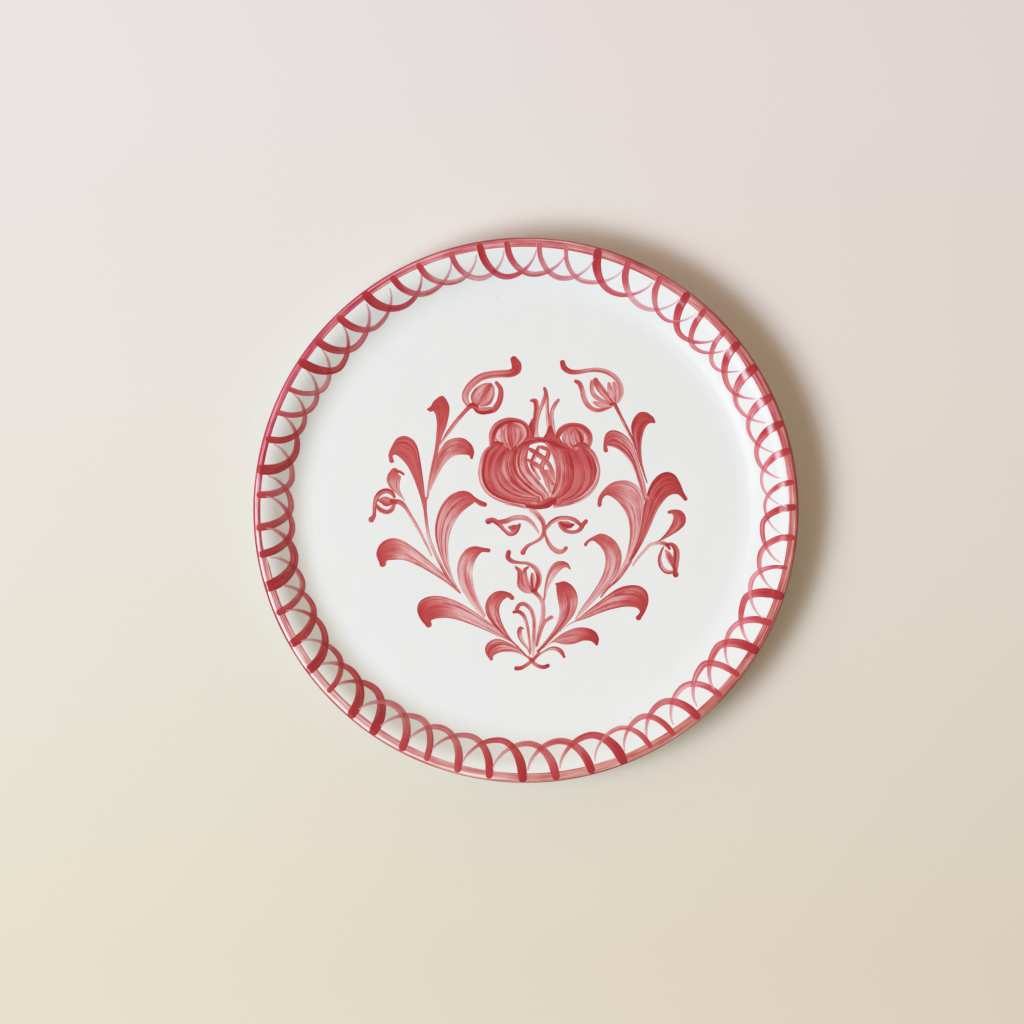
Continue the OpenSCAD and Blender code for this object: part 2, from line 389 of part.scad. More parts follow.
// Seeds seen through the split in the rind
pomegranate_window_strokes = [
    [[8, 17.8, 13.6, 17.6], [9.4, 13.4, 14.2, 13], [11.2, 9.6, 13.8, 9]],
    [[10.4, 33.2, 1.6], [13.2, 29.4, 2.2], [15.1, 24.6, 2.4], [15.7, 19.6, 2.4], [15.2, 14, 2.4],
     [13.6, 8.8, 2]],
    [[6.4, 31.7, 1.6], [5.4, 29.2, 2.2], [3.9, 26.1, 2.4], [3, 22.9, 2.2], [4.1, 20.1, 1.9],
     [5.7, 17.5, 1.6], [7, 15.7, 1.3]],
    [[7.8, 31.6, 1.8], [11.2, 29.9, 2.2], [10.7, 26.6, 2.5], [8.5, 23.4, 2.5], [7.9, 20.2, 2.3],
     [9.5, 16.6, 2], [10.8, 13.2, 1.6]],
    [[0.9, 25.2, 1.4], [3.7, 23.5, 2.4], [6.9, 21.5, 2.4], [9.3, 18.6, 2.3], [11.4, 15.8, 2.2],
     [13.3, 13.2, 2]],
    [[2.2, 30.4, 2], [5.8, 28.1, 2.5], [9.4, 25.4, 2.5], [11.9, 22, 2.3], [13.3, 18.6, 2.1],
     [13.9, 15.2, 1.6]],
];

// Left petal of the calyx: ribs, then the outline over them
pomegranate_left_lobe_strokes = [
    [[-9.2, 43.8, -6.6, 43.9], [-13, 42, -2.6, 42.2], [-15.6, 39.6, 0.2, 40], [-15.8, 36.2, 0.6, 36.6],
     [-12.6, 32.8, -2.6, 33.2], [-8.6, 31, -6.8, 31.1]],
    [[-12.4, 42.4, 1], [-11.9, 38.6, 1.4], [-10.2, 34.6, 1], [-8.7, 32.2, 0.8]],
    [[-7.8, 44.6, 3], [-8.2, 40.4, 3.4], [-8, 36.4, 3.2], [-7.2, 32.4, 2]],
    [[-5.4, 43.4, 1.4], [-3.4, 40.6, 1.1], [-3.1, 37.4, 1], [-4.4, 33.6, 0.8]],
    [[-5, 45.6, -5.6, 43.2], [-0.8, 44, -2.6, 41.6], [1.4, 41, -1.4, 39.2], [1.8, 37.4, -1.4, 36.8],
     [-0.4, 34.2, -2.8, 34.6], [-3.6, 31.8, -4.8, 32.4]],
    [[-17, 33.4, 2.8], [-16.6, 38, 3.8], [-14.2, 42.2, 3.8], [-10, 44.5, 3.4], [-5.6, 44.9, 2.6],
     [-1.2, 43.6, 2], [1.2, 40.9, 1.6], [1.7, 37.4, 1.2]],
    [[-17.4, 33.2, 1.6], [-14.5, 33.4, 2.6], [-12, 33.2, 2]],
];

// Right petal of the calyx: ribs, then the outline over them
pomegranate_right_lobe_strokes = [
    [[23.8, 41.2, 25.8, 41.3], [20.6, 40, 28.4, 40.2], [18.4, 38, 30.2, 38], [18.2, 35, 30.6, 35],
     [20.4, 32, 29.4, 32], [23.8, 30.6, 26, 30.7]],
    [[23.6, 40.4, 0.9], [22.5, 36.6, 1.1], [23.2, 33.4, 1], [25.2, 31.2, 0.8]],
    [[24.8, 40, 2.8], [26.1, 37.4, 5.4], [26.7, 35, 5.4], [26.9, 32.8, 3.4]],
    [[15.8, 36.8, 2.4], [17.6, 39.9, 3.2], [20.8, 41.9, 3.2], [24.6, 42.4, 2.8], [28.6, 41.2, 3],
     [31.4, 38, 3.2], [31.8, 34.4, 3], [30.8, 31.4, 2.2]],
    [[24.6, 32.2, 1.8], [27.8, 33, 3], [31, 31.8, 2.4]],
];

// Strokes at the fruit's foot, where the stem joins
pomegranate_base_strokes = [
    [[-10, 3.2, 0.9], [-5, 2.4, 1], [-0.5, 1.4, 1.2]],
    [[14, 1.6, 1.2], [18, 2.4, 1.4], [23, 3.8, 1.6]],
    [[1.2, 3.6, 1.2], [4, 3.4, 1.4], [6, 3, 1.4]],
    [[0.8, 2.6, 2.6], [3.4, 2, 3], [7, 2.2, 3.6], [10.4, 3.4, 4.8], [13, 4.8, 3.8]],
];

// The border's loops, clockwise. Each is one stroke: the angle where the loaded brush starts, the
// brush's width there, the angle run to the loop's bottom, the radius of the bottom, the width there,
// and the angle run to the end of the thin tail.
border_loops = [
    [53.2, 4.2, 4.9, 116.9, 2.6, 11.5], [48.2, 3.2, 3.9, 117.1, 2.3, 9.6], [42, 2.7, 4.5, 118.4, 2, 9],
    [38.1, 4.1, 6.8, 118.7, 2.5, 12.4], [31.9, 4.8, 5.5, 117.9, 2.5, 12.1],
    [24.8, 4.4, 5.5, 118.2, 2.1, 12], [18.7, 4.2, 5.8, 118.5, 2.4, 11.7],
    [12.7, 3.7, 5.9, 118.7, 1.6, 11.8], [6, 3, 5.1, 119.4, 1.5, 11.5],
    [0.6, 3.6, 4.5, 118.4, 2.6, 12.2], [-5.9, 3.4, 5.3, 119.1, 2.6, 11.8],
    [-12.5, 2.1, 5, 118.2, 2.5, 12], [-18.6, 4.8, 3.8, 118.1, 3.3, 12],
    [-24.9, 3.7, 5.8, 118.6, 2.4, 12.8], [-31.4, 4.8, 4.6, 117.7, 3.5, 12.2],
    [-37.9, 3.2, 3.6, 117.6, 3.2, 11], [-43.7, 3.1, 5.1, 118.1, 2.9, 11.8],
    [-50.3, 4, 5.2, 117.6, 3, 11.8], [-56.7, 3, 4.6, 118.3, 2.7, 11],
    [-62.3, 2.8, 5.3, 118.4, 2.2, 12.3], [-68.8, 5.1, 6, 116.9, 3.2, 13.7],
    [-75.9, 4.2, 6.4, 116.6, 3.1, 13.7], [-83.6, 4.3, 6, 116.7, 2.8, 13.7],
    [-90.7, 4.6, 5.7, 115.8, 2.9, 13.4], [-97.9, 3.9, 6, 116.4, 2.8, 13.7],
    [-104.8, 4, 6.1, 116.7, 2.9, 12.4], [-111.8, 3.3, 5.1, 116.8, 3, 12.1],
    [-117.5, 4.1, 6.1, 117.6, 3.3, 12.5], [-124.6, 5.1, 5.8, 117, 3.4, 12.7],
    [-130.5, 5, 6.4, 118.4, 3.1, 12.7], [-137.5, 2.8, 5.1, 118.6, 2.7, 12.3],
    [-143.6, 4.8, 6.8, 117.5, 2.9, 13.7], [-150.3, 4.6, 5.8, 116.9, 2.8, 12.8],
    [-157.5, 3.5, 5.2, 117.3, 2.8, 12], [-163.5, 5.9, 5.8, 118, 3.9, 12.6],
    [-170.5, 3.9, 5.6, 117.1, 2.9, 12.6], [-176.3, 3.9, 4.8, 117.5, 3, 11.3],
    [-183.3, 3.4, 4.5, 118.1, 2.9, 11.3], [-188.7, 5.1, 5.8, 118.6, 3.2, 12.4],
    [-195.4, 3.4, 5.5, 119.1, 2.5, 11.1], [-201.5, 2.7, 5.3, 118.2, 2.6, 11],
    [-207.1, 2.5, 4.7, 117.9, 2.6, 11.1], [-213.4, 4.5, 4.6, 117.2, 2.9, 11.8],
    [-219, 3.9, 5.6, 117.8, 2.9, 13.2], [-225.9, 3.7, 5.3, 118.2, 2.3, 12.5],
    [-233.4, 4.6, 6.4, 118.7, 2.7, 12.7], [-240.2, 3.4, 6.1, 119.1, 2.6, 13],
    [-246.4, 3.2, 6.7, 119.5, 2.4, 12.5], [-253.7, 2.8, 5.7, 118.1, 2.5, 11.4],
    [-260.1, 3.7, 5.6, 117.1, 2.7, 12.1], [-265.9, 3.2, 5.9, 118, 2.6, 12.9],
    [-272.8, 2.5, 5.8, 117.4, 2.6, 12.3], [-278.7, 2.1, 5.5, 118.1, 2.4, 13.2],
    [-285.6, 4.4, 6.4, 117.2, 2.6, 13.4], [-292.4, 3.4, 7.1, 117.1, 2.5, 13.5],
    [-300, 3.2, 5.8, 118.1, 1.9, 10.8],
];

// A loop starts further out on the band where the brush was fuller. The first is the radius of a dry
// brush's start, and the second is the distance gained for each mm of the brush's width.
loop_start_radius = 131.6;
loop_start_gain = 0.36;
// Radius where each loop's tail ends, and its width there
loop_tail_radius = 129.5;
tail_width = 0.7;

// A point part of the way from one corner of a box to the other, as fractions of its run and rise
function between(from, to, step) = [from.x + (to.x - from.x) * step.x, from.y + (to.y - from.y) * step.y];

function unit(v) = v / norm(v);
function left_of(v) = [-v.y, v.x];
function reversed(list) = [for (i = [len(list) - 1:-1:0]) list[i]];
function part_of(list, first, last) = [for (i = [first:last]) list[i]];
function clamped(i, list) = max(0, min(i, len(list) - 1));

// The direction out of a path's left side at one of its points, long enough to keep a coat even
function outward(path, i) = let(
        before = unit(left_of(path[max(i, 1)] - path[max(i, 1) - 1])),
        after = unit(left_of(path[min(i, len(path) - 2) + 1] - path[min(i, len(path) - 2)])),
        middle = unit(before + after)
    ) middle / (middle * before);

// A path moved out by the thickness of what covers it
function coated(path, thickness) = [for (i = [0:len(path) - 1]) path[i] + thickness * outward(path, i)];

// The section of one coat on a path
function coat(path, under, over) = concat(coated(path, over), reversed(coated(path, under)));

// A smooth curve through four points, and the part of it between the second and the third
function curve(a, b, c, d, t) =
    (2 * b + (c - a) * t + (2 * a - 5 * b + 4 * c - d) * t * t + (3 * b - a - 3 * c + d) * t * t * t) / 2;

function smooth(points, steps) = concat(
        [
            for (i = [0:len(points) - 2], j = [0:steps - 1])
            curve(
                points[clamped(i - 1, points)], points[i], points[i + 1], points[clamped(i + 2, points)],
                j / steps
            )
        ],
        [points[len(points) - 1]]
    );

// The two edges of a stroke: as they are given, or half the brush's width to each side of the middle
function along(points, i) = unit([
        for (k = [0, 1]) points[clamped(i + 1, points)][k] - points[clamped(i - 1, points)][k]
    ]);
function edge(points, side) = [
        for (i = [0:len(points) - 1])
        len(points[i]) == 4
            ? (side > 0 ? [points[i][0], points[i][1]] : [points[i][2], points[i][3]])
            : [points[i][0], points[i][1]] + side * left_of(along(points, i)) * points[i][2] / 2
    ];

// A half turn, clockwise, from one side of a stroke's end to the other
function tip(from, to) = let(middle = (from + to) / 2, arm = from - middle) [
        for (i = [1:tip_steps - 1])
        let(turn = -180 * i / tip_steps)
        middle + [arm.x * cos(turn) - arm.y * sin(turn), arm.x * sin(turn) + arm.y * cos(turn)]
    ];

// The outline of a stroke, with its left edge first and a round tip at each end
function outline(points, steps) = let(
        course = smooth(points, steps),
        one = edge(course, 1),
        other = edge(course, -1),
        heading = one[1] + other[1] - one[0] - other[0],
        one_is_left = left_of(heading) * (one[0] - other[0]) > 0,
        left = one_is_left ? one : other,
        right = one_is_left ? other : one,
        last = len(left) - 1
    ) concat(left, tip(left[last], right[last]), reversed(right), tip(right[0], left[0]));

module strokes(list) {
    for (points = list)
        polygon(art_scale * outline(points, stroke_steps));
}

// Strokes on the well, less what later strokes cover
module painted(list, later = []) {
    translate([0, 0, well_height])
        linear_extrude(paint_thickness)
            difference() {
                strokes(list);
                for (cover = later)
                    strokes(cover);
            }
}

module turned(section) {
    rotate_extrude()
        polygon(section);
}

// The points of one border loop: down from the band along a quarter turn, and up to the tail
function loop_point(loop, run, radius, width) = [
        radius * cos(loop[0] - run),
        radius * sin(loop[0] - run),
        width
    ];
function loop_points(loop) = let(
        load = loop[1],
        bottom_run = loop[2],
        bottom_radius = loop[3],
        belly = loop[4],
        tail_run = loop[5],
        start_radius = loop_start_radius + loop_start_gain * load,
        down = [[0, load], [22.5, load], [45, 0.6 * load + 0.4 * belly], [67.5, 0.2 * load + 0.8 * belly]],
        up = [[0, belly], [22.5, 0.84 * belly], [45, 0.56 * belly], [67.5, 0.4 * belly], [90, tail_width]]
    ) concat(
        [
            for (step = down)
            loop_point(
                loop,
                bottom_run * (1 - cos(step[0])),
                start_radius - (start_radius - bottom_radius) * sin(step[0]),
                step[1]
            )
        ],
        [
            for (step = up)
            loop_point(
                loop,
                bottom_run + (tail_run - bottom_run) * sin(step[0]),
                loop_tail_radius - (loop_tail_radius - bottom_radius) * pow(cos(step[0]), 1.25),
                step[1]
            )
        ]
    );

module clay_body() {
    color(clay_colour) turned(concat(surface, [[foot_outer, 0], [foot_inner, 0]], part_of(recess, 1, 2)));
}

module tin_glaze() {
    color(glaze_colour) {
        turned(coat(surface, 0, glaze_thickness));
        turned(coat(recess, 0, glaze_thickness));
    }
}

module lip_band() {
    glazed = coated(surface, glaze_thickness);
    banded = coated(surface, glaze_thickness + paint_thickness);
    color(band_colour)
        turned(concat(
            part_of(banded, at_band, at_band_end),
            reversed(part_of(glazed, at_band, at_band_end))
        ));
}

// The loops lie on the glazed wall, and climb the edge of the band to end on it
module looped_border() {
    glazed = coated(surface, glaze_thickness);
    banded = coated(surface, glaze_thickness + paint_thickness);
    looped = coated(surface, glaze_thickness + 2 * paint_thickness);
    color(stroke_colour)
        intersection() {
            linear_extrude(2 * plate_height)
                for (loop = border_loops)
                    polygon(art_scale * outline(loop_points(loop), 1));
            turned(concat(
                part_of(banded, at_well, at_band - 1),
                part_of(looped, at_band, at_lip_top),
                reversed(part_of(banded, at_band, at_lip_top)),
                reversed(part_of(glazed, at_well, at_band))
            ));
        }
}

module leaves_left_low() {
    color(stroke_colour) painted(leaves_left_low_strokes, [
        leaves_left_middle_strokes, base_spray_strokes,
        knot_tails_strokes
    ]);
}

module leaves_left_middle() {
    color(stroke_colour) painted(leaves_left_middle_strokes, [leaves_left_high_strokes]);
}

module leaves_left_high() {
    color(stroke_colour) painted(leaves_left_high_strokes, [bud_top_left_strokes]);
}

module bud_top_left() {
    color(stroke_colour) painted(bud_top_left_strokes);
}

module bud_side_left() {
    color(stroke_colour) painted(bud_side_left_strokes);
}

module base_spray() {
    color(stroke_colour) painted(base_spray_strokes, [
        low_tulip_strokes, knot_tails_strokes,
        leaves_right_low_strokes
    ]);
}

module low_tulip() {
    color(stroke_colour) painted(low_tulip_strokes);
}

module knot_tails() {
    color(stroke_colour) painted(knot_tails_strokes, [leaves_right_low_strokes]);
}

module leaves_right_low() {
    color(stroke_colour) painted(leaves_right_low_strokes, [leaves_right_middle_strokes]);
}

module leaves_right_middle() {
    color(stroke_colour) painted(leaves_right_middle_strokes, [leaves_right_high_strokes]);
}

module leaves_right_high() {
    color(stroke_colour) painted(leaves_right_high_strokes, [bud_top_right_strokes]);
}

module bud_top_right() {
    color(stroke_colour) painted(bud_top_right_strokes);
}

module bud_side_right() {
    color(stroke_colour) painted(bud_side_right_strokes);
}

module scroll_left() {
    color(stroke_colour) painted(scroll_left_strokes, [scroll_right_strokes, pomegranate_base_strokes]);
}

module scroll_right() {
    color(stroke_colour) painted(scroll_right_strokes);
}

module pomegranate_crown() {
    color(stroke_colour) painted(pomegranate_crown_strokes, [
        pomegranate_fruit_strokes, pomegranate_window_strokes,
        pomegranate_left_lobe_strokes, pomegranate_right_lobe_strokes
    ]);
}

module pomegranate_fruit() {
    color(stroke_colour) painted(pomegranate_fruit_strokes, [
        pomegranate_window_strokes, pomegranate_left_lobe_strokes,
        pomegranate_right_lobe_strokes, pomegranate_base_strokes
    ]);
}

module pomegranate_window() {
    color(stroke_colour) painted(pomegranate_window_strokes);
}

module pomegranate_left_lobe() {
    color(stroke_colour) painted(pomegranate_left_lobe_strokes);
}

module pomegranate_right_lobe() {
    color(stroke_colour) painted(pomegranate_right_lobe_strokes);
}

module pomegranate_base() {
    color(stroke_colour) painted(pomegranate_base_strokes);
}

clay_body();
tin_glaze();
lip_band();
looped_border();
leaves_left_low();
leaves_left_middle();
leaves_left_high();
bud_top_left();
bud_side_left();
base_spray();
low_tulip();
knot_tails();
leaves_right_low();
leaves_right_middle();
leaves_right_high();
bud_top_right();
bud_side_right();
scroll_left();
scroll_right();
pomegranate_crown();
pomegranate_fruit();
pomegranate_window();
pomegranate_left_lobe();
pomegranate_right_lobe();
pomegranate_base();
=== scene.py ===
"""The looks of a hand-painted ceramic plate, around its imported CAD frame.

Lengths in the tables are in millimetres, as on the plate, and MM turns them into metres. Every painted
element is a low-relief piece of its own, made of brush strokes. Each stroke carries where a point is
along and across the brush, and how much paint the brush left there, and the paint material reads that.
"""

import math

import bpy
import numpy as np
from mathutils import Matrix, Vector


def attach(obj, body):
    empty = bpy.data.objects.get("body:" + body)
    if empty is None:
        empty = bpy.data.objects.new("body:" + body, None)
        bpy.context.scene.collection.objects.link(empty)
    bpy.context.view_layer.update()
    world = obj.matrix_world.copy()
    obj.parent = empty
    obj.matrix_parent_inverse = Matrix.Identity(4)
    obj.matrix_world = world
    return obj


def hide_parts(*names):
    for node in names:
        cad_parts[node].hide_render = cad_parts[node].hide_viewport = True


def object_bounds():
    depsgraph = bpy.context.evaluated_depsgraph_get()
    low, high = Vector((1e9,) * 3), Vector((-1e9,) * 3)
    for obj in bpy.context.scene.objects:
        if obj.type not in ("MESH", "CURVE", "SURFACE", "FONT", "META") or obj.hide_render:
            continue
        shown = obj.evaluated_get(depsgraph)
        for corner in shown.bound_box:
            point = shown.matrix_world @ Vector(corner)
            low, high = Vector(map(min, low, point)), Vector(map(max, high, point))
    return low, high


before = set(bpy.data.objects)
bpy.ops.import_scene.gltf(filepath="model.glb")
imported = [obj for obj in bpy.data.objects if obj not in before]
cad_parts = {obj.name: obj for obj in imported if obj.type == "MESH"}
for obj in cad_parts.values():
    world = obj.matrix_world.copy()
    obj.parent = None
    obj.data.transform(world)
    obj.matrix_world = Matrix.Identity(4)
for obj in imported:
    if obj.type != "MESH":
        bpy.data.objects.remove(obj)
cad_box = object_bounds()

MM = 0.001
BODY = "root"

# ---------------------------------------------------------------- the plate's section

# Millimetres, and degrees for slopes
PLATE_RADIUS = 136.0
WELL_RADIUS = 106.0
WELL_HEIGHT = 9.3
GLAZE = 0.35
PAINT = 0.15
WALL_SLOPE = 39.0
WELL_BEND = 22.0
SHOULDER_BEND = 17.0
LIP_RADIUS = 1.7
LIP_SLOPE = 6.0
LIP_BACK = -60.0
FOOT_RADIUS = 84.0
FOOT_WIDTH = 6.0
FOOT_RECESS = 3.2
FOOT_BARE = 1.0
FOOT_ROOT = 0.1
# The back, as shares of the way from the foot to the lip, out and up
BACK_CURVE = [(0.96, 0.93), (0.87, 0.69), (0.77, 0.42), (0.65, 0.22), (0.51, 0.107), (0.316, 0.04)]

# How finely the section and its turn are cut
WELL_RINGS = 24
ARC_STEP = 2.0
BACK_STEPS = 6
TURNS = 480


def rim(centre, radius, facing):
    """The point of an arc that faces a direction, in degrees from +X."""
    angle = math.radians(facing)
    return (centre[0] + radius * math.cos(angle), centre[1] + radius * math.sin(angle))


def facings(first, last):
    """Directions from first to last, about ARC_STEP apart, without the last."""
    steps = max(2, round(abs(last - first) / ARC_STEP))
    return [first + (last - first) * i / steps for i in range(steps)]


def face_section():
    """The clay under the face, from the middle to the lip's back, and the lip's centre."""
    slope, lip_slope = math.radians(WALL_SLOPE), math.radians(LIP_SLOPE)
    face = WELL_HEIGHT - GLAZE
    lip_x = PLATE_RADIUS - LIP_RADIUS - GLAZE - PAINT
    bend_end = WELL_RADIUS + WELL_BEND * math.sin(slope)
    shoulder_start = (
        lip_x - LIP_RADIUS * math.sin(lip_slope) - SHOULDER_BEND * (math.sin(slope) - math.sin(lip_slope))
    )
    rise = (
        WELL_BEND * (1 - math.cos(slope))
        + (shoulder_start - bend_end) * math.tan(slope)
        + SHOULDER_BEND * (math.cos(lip_slope) - math.cos(slope))
    )
    lip = (lip_x, face + rise - LIP_RADIUS * math.cos(lip_slope))
    shoulder = rim(lip, LIP_RADIUS - SHOULDER_BEND, 90 + LIP_SLOPE)
    points = [(WELL_RADIUS * i / WELL_RINGS, face) for i in range(WELL_RINGS)]
    points += [rim((WELL_RADIUS, face + WELL_BEND), WELL_BEND, a - 90) for a in facings(0, WALL_SLOPE)]
    points += [rim(shoulder, SHOULDER_BEND, 90 + a) for a in facings(WALL_SLOPE, LIP_SLOPE)]
    points += [rim(lip, LIP_RADIUS, a) for a in facings(90 + LIP_SLOPE, LIP_BACK)]
    points.append(rim(lip, LIP_RADIUS, LIP_BACK))
    return np.array(points), lip


def curve_point(a, b, c, d, t):
    """A point of a smooth curve between b and c."""
    return (2 * b + (c - a) * t + (2 * a - 5 * b + 4 * c - d) * t**2 + (3 * b - a - 3 * c + d) * t**3) / 2


def smooth(points, steps):
    """A smooth curve through points, with steps pieces between each two."""
    rows = [np.array(p, float) for p in points]
    last = len(rows) - 1
    made = []
    for i in range(last):
        near = [rows[max(i - 1, 0)], rows[i], rows[i + 1], rows[min(i + 2, last)]]
        made += [curve_point(*near, j / steps) for j in range(steps)]
    return np.array(made + [rows[last]])


def directions(path):
    """The unit direction of a path at each of its points."""
    steps = np.gradient(path, axis=0)
    return steps / (np.linalg.norm(steps, axis=1)[:, None] + 1e-12)


def moved_out(path, distance):
    """A section's points moved to the left of their path, which is out of the clay."""
    way = directions(path)
    return path + distance * np.stack([-way[:, 1], way[:, 0]], axis=1)


def sharp_coat(path, thickness):
    """The few points of a section with corners, moved out so that the coat stays even."""
    made = []
    for i, point in enumerate(path):
        before = path[max(i, 1)] - path[max(i, 1) - 1]
        after = path[min(i, len(path) - 2) + 1] - path[min(i, len(path) - 2)]
        a = np.array([-before[1], before[0]]) / np.linalg.norm(before)
        b = np.array([-after[1], after[0]]) / np.linalg.norm(after)
        middle = (a + b) / np.linalg.norm(a + b)
        made.append(point + thickness * middle / (middle @ a))
    return np.array(made)


def clay_surface():
    """The clay's surface from the middle of the face, over the lip, to the foot ring's bare edge."""
    face, _ = face_section()
    foot = (FOOT_RADIUS, FOOT_RECESS + FOOT_ROOT)
    top = face[-1]
    back = [(foot[0] + (top[0] - foot[0]) * x, foot[1] + (top[1] - foot[1]) * z) for x, z in BACK_CURVE]
    curve = smooth([top, *back, foot], BACK_STEPS)[1:]
    return np.vstack([face, curve, [(FOOT_RADIUS, FOOT_BARE)]])


# ---------------------------------------------------------------- meshes


def new_piece(name, points, faces, node, material, attributes=None):
    """A smooth piece that stands for a CAD node, from points in millimetres."""
    mesh = bpy.data.meshes.new(name)
    mesh.from_pydata([tuple(p * MM for p in point) for point in points], [], faces)
    for key, values in (attributes or {}).items():
        layer = mesh.attributes.new(key, "FLOAT_VECTOR", "POINT")
        layer.data.foreach_set("vector", np.asarray(values, np.float32).ravel())
    mesh.polygons.foreach_set("use_smooth", [True] * len(mesh.polygons))
    mesh.update()
    piece = bpy.data.objects.new(name, mesh)
    bpy.context.scene.collection.objects.link(piece)
    mesh.materials.append(material)
    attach(piece, BODY)
    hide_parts(node)


def ring_point(ring, turn):
    """Which point of a turned section stands at a ring and a turn, after the one in the middle."""
    return 1 + ring * TURNS + turn % TURNS


def spin(section):
    """The points and faces of a section turned about the axis, where its first and last points lie."""
    turns = np.arange(TURNS) * 2 * math.pi / TURNS
    points = [(0, 0, section[0][1])]
    for r, z in section[1:-1]:
        points += [(r * math.cos(a), r * math.sin(a), z) for a in turns]
    points.append((0, 0, section[-1][1]))
    outer = len(section) - 3
    faces = [(0, ring_point(0, t), ring_point(0, t + 1)) for t in range(TURNS)]
    for ring in range(outer):
        for t in range(TURNS):
            corners = ((ring, t), (ring + 1, t), (ring + 1, t + 1), (ring, t + 1))
            faces.append(tuple(ring_point(*corner) for corner in corners))
    last = len(points) - 1
    faces += [(last, ring_point(outer, t + 1), ring_point(outer, t)) for t in range(TURNS)]
    return points, faces


def join_parts(parts):
    """One list of points and faces from several."""
    points, faces = [], []
    for more_points, more_faces in parts:
        start = len(points)
        points += more_points
        faces += [tuple(start + i for i in face) for face in more_faces]
    return points, faces


# ---------------------------------------------------------------- the painting

STROKES = {}
# three leaves at the lower left: small, broad and upright
STROKES["leaves_left_low"] = [
    (0.7, 0.45, 0.5, [(-18.2, -74.6, -16.4, -74.3), (-20, -72, -16.3, -73.1), (-20.4, -68.8, -14.8, -72),
        (-18.6, -66, -12.2, -71.1), (-14.4, -64.3, -9.2, -70.9), (-9.4, -65.8, -6, -71.1),
        (-4.6, -68.4, -3, -72), (-0.4, -71.8, 0, -73.6), (2.6, -74.8, 2.2, -75.6)]),
    (0.84, 0.32, 0.9, [(-50.2, -57.8, -47.2, -56.6), (-52.8, -54.6, -47.5, -55.5),
        (-54.5, -50, -46.3, -54.7), (-53.2, -45.8, -43.6, -54.1), (-49, -43.3, -39.5, -54),
        (-43, -43, -34.5, -54.9), (-36.5, -44.8, -29.5, -56.5), (-30.5, -47.8, -24.5, -58.4),
        (-24.5, -51.6, -19.8, -60.4), (-18.5, -55.8, -15, -62.6), (-12.5, -60.4, -10.4, -64.6),
        (-7, -65, -6.2, -67), (-2.5, -69.4, -2.4, -70.8), (1, -73.2, 0.6, -74)]),
    (0.8, 0.53, 0.95, [(-6.1, -43, -7.8, -44.7), (-8, -41.4, -9.2, -43.7), (-12, -40.3, -11, -44.8),
        (-15.8, -41.1, -12.5, -46.6), (-19, -44, -13.3, -49), (-20.4, -48.5, -13.2, -52),
        (-19.4, -53, -12.2, -55.6), (-16.6, -57.2, -10.6, -59.2), (-12.8, -61, -8.6, -62.6),
        (-8.6, -64.8, -6.4, -65.6), (-4.6, -68.2, -3.8, -68.4)]),
]
# three leaves at the middle left: outer, inner and lower
STROKES["leaves_left_middle"] = [
    (0.81, 0.28, 0.55, [(-73.4, -26.5, -70, -27), (-74.9, -22, -69.9, -25.8), (-73.4, -17.6, -69.2, -25.2),
        (-70.2, -14.9, -67, -24.9), (-66, -14, -63.5, -24.8), (-61, -15.5, -59.5, -25.5),
        (-55.5, -19.2, -54.8, -27.5), (-49.5, -24.2, -49.6, -30.2), (-44, -29.1, -44.8, -33.1),
        (-39, -33.6, -40, -36.2), (-35.2, -37.6, -36.2, -39.2), (-32.6, -41, -33.4, -41.6)]),
    (0.78, 0.45, 0.28, [(-20.4, 4, -20.9, 1.6), (-23.2, 5.2, -23.4, 2.4), (-25.6, 6.8, -25.6, 3.9),
        (-28.5, 9.1, -26.8, 3), (-32.5, 9.7, -29.3, 1.3), (-37.6, 7.7, -32.4, -1.4),
        (-41.8, 3.3, -35.2, -5.2), (-44.4, -2.5, -37.4, -9.6), (-45.6, -9.5, -38.7, -15.5),
        (-44.9, -16, -38.9, -21), (-43, -22.5, -38.5, -26.5), (-40.6, -28.5, -37.2, -31.5),
        (-37.4, -34.5, -35.4, -36), (-35, -38, -34, -38.5)]),
    (0.8, 0.25, 0.15, [(-18.6, -19.1, -18.9, -21.2), (-21.4, -18.7, -21.6, -21), (-25.5, -18, -23.4, -22.3),
        (-29.6, -19.3, -25, -24.6), (-32.6, -22.9, -26.3, -27.8), (-34.3, -28, -26.8, -31),
        (-34, -34.5, -26.5, -35), (-32, -40, -25.7, -39.6), (-28.8, -45, -24.1, -44.4),
        (-25.2, -49.6, -22, -48.8), (-22, -53.2, -20.2, -52.2)]),
]
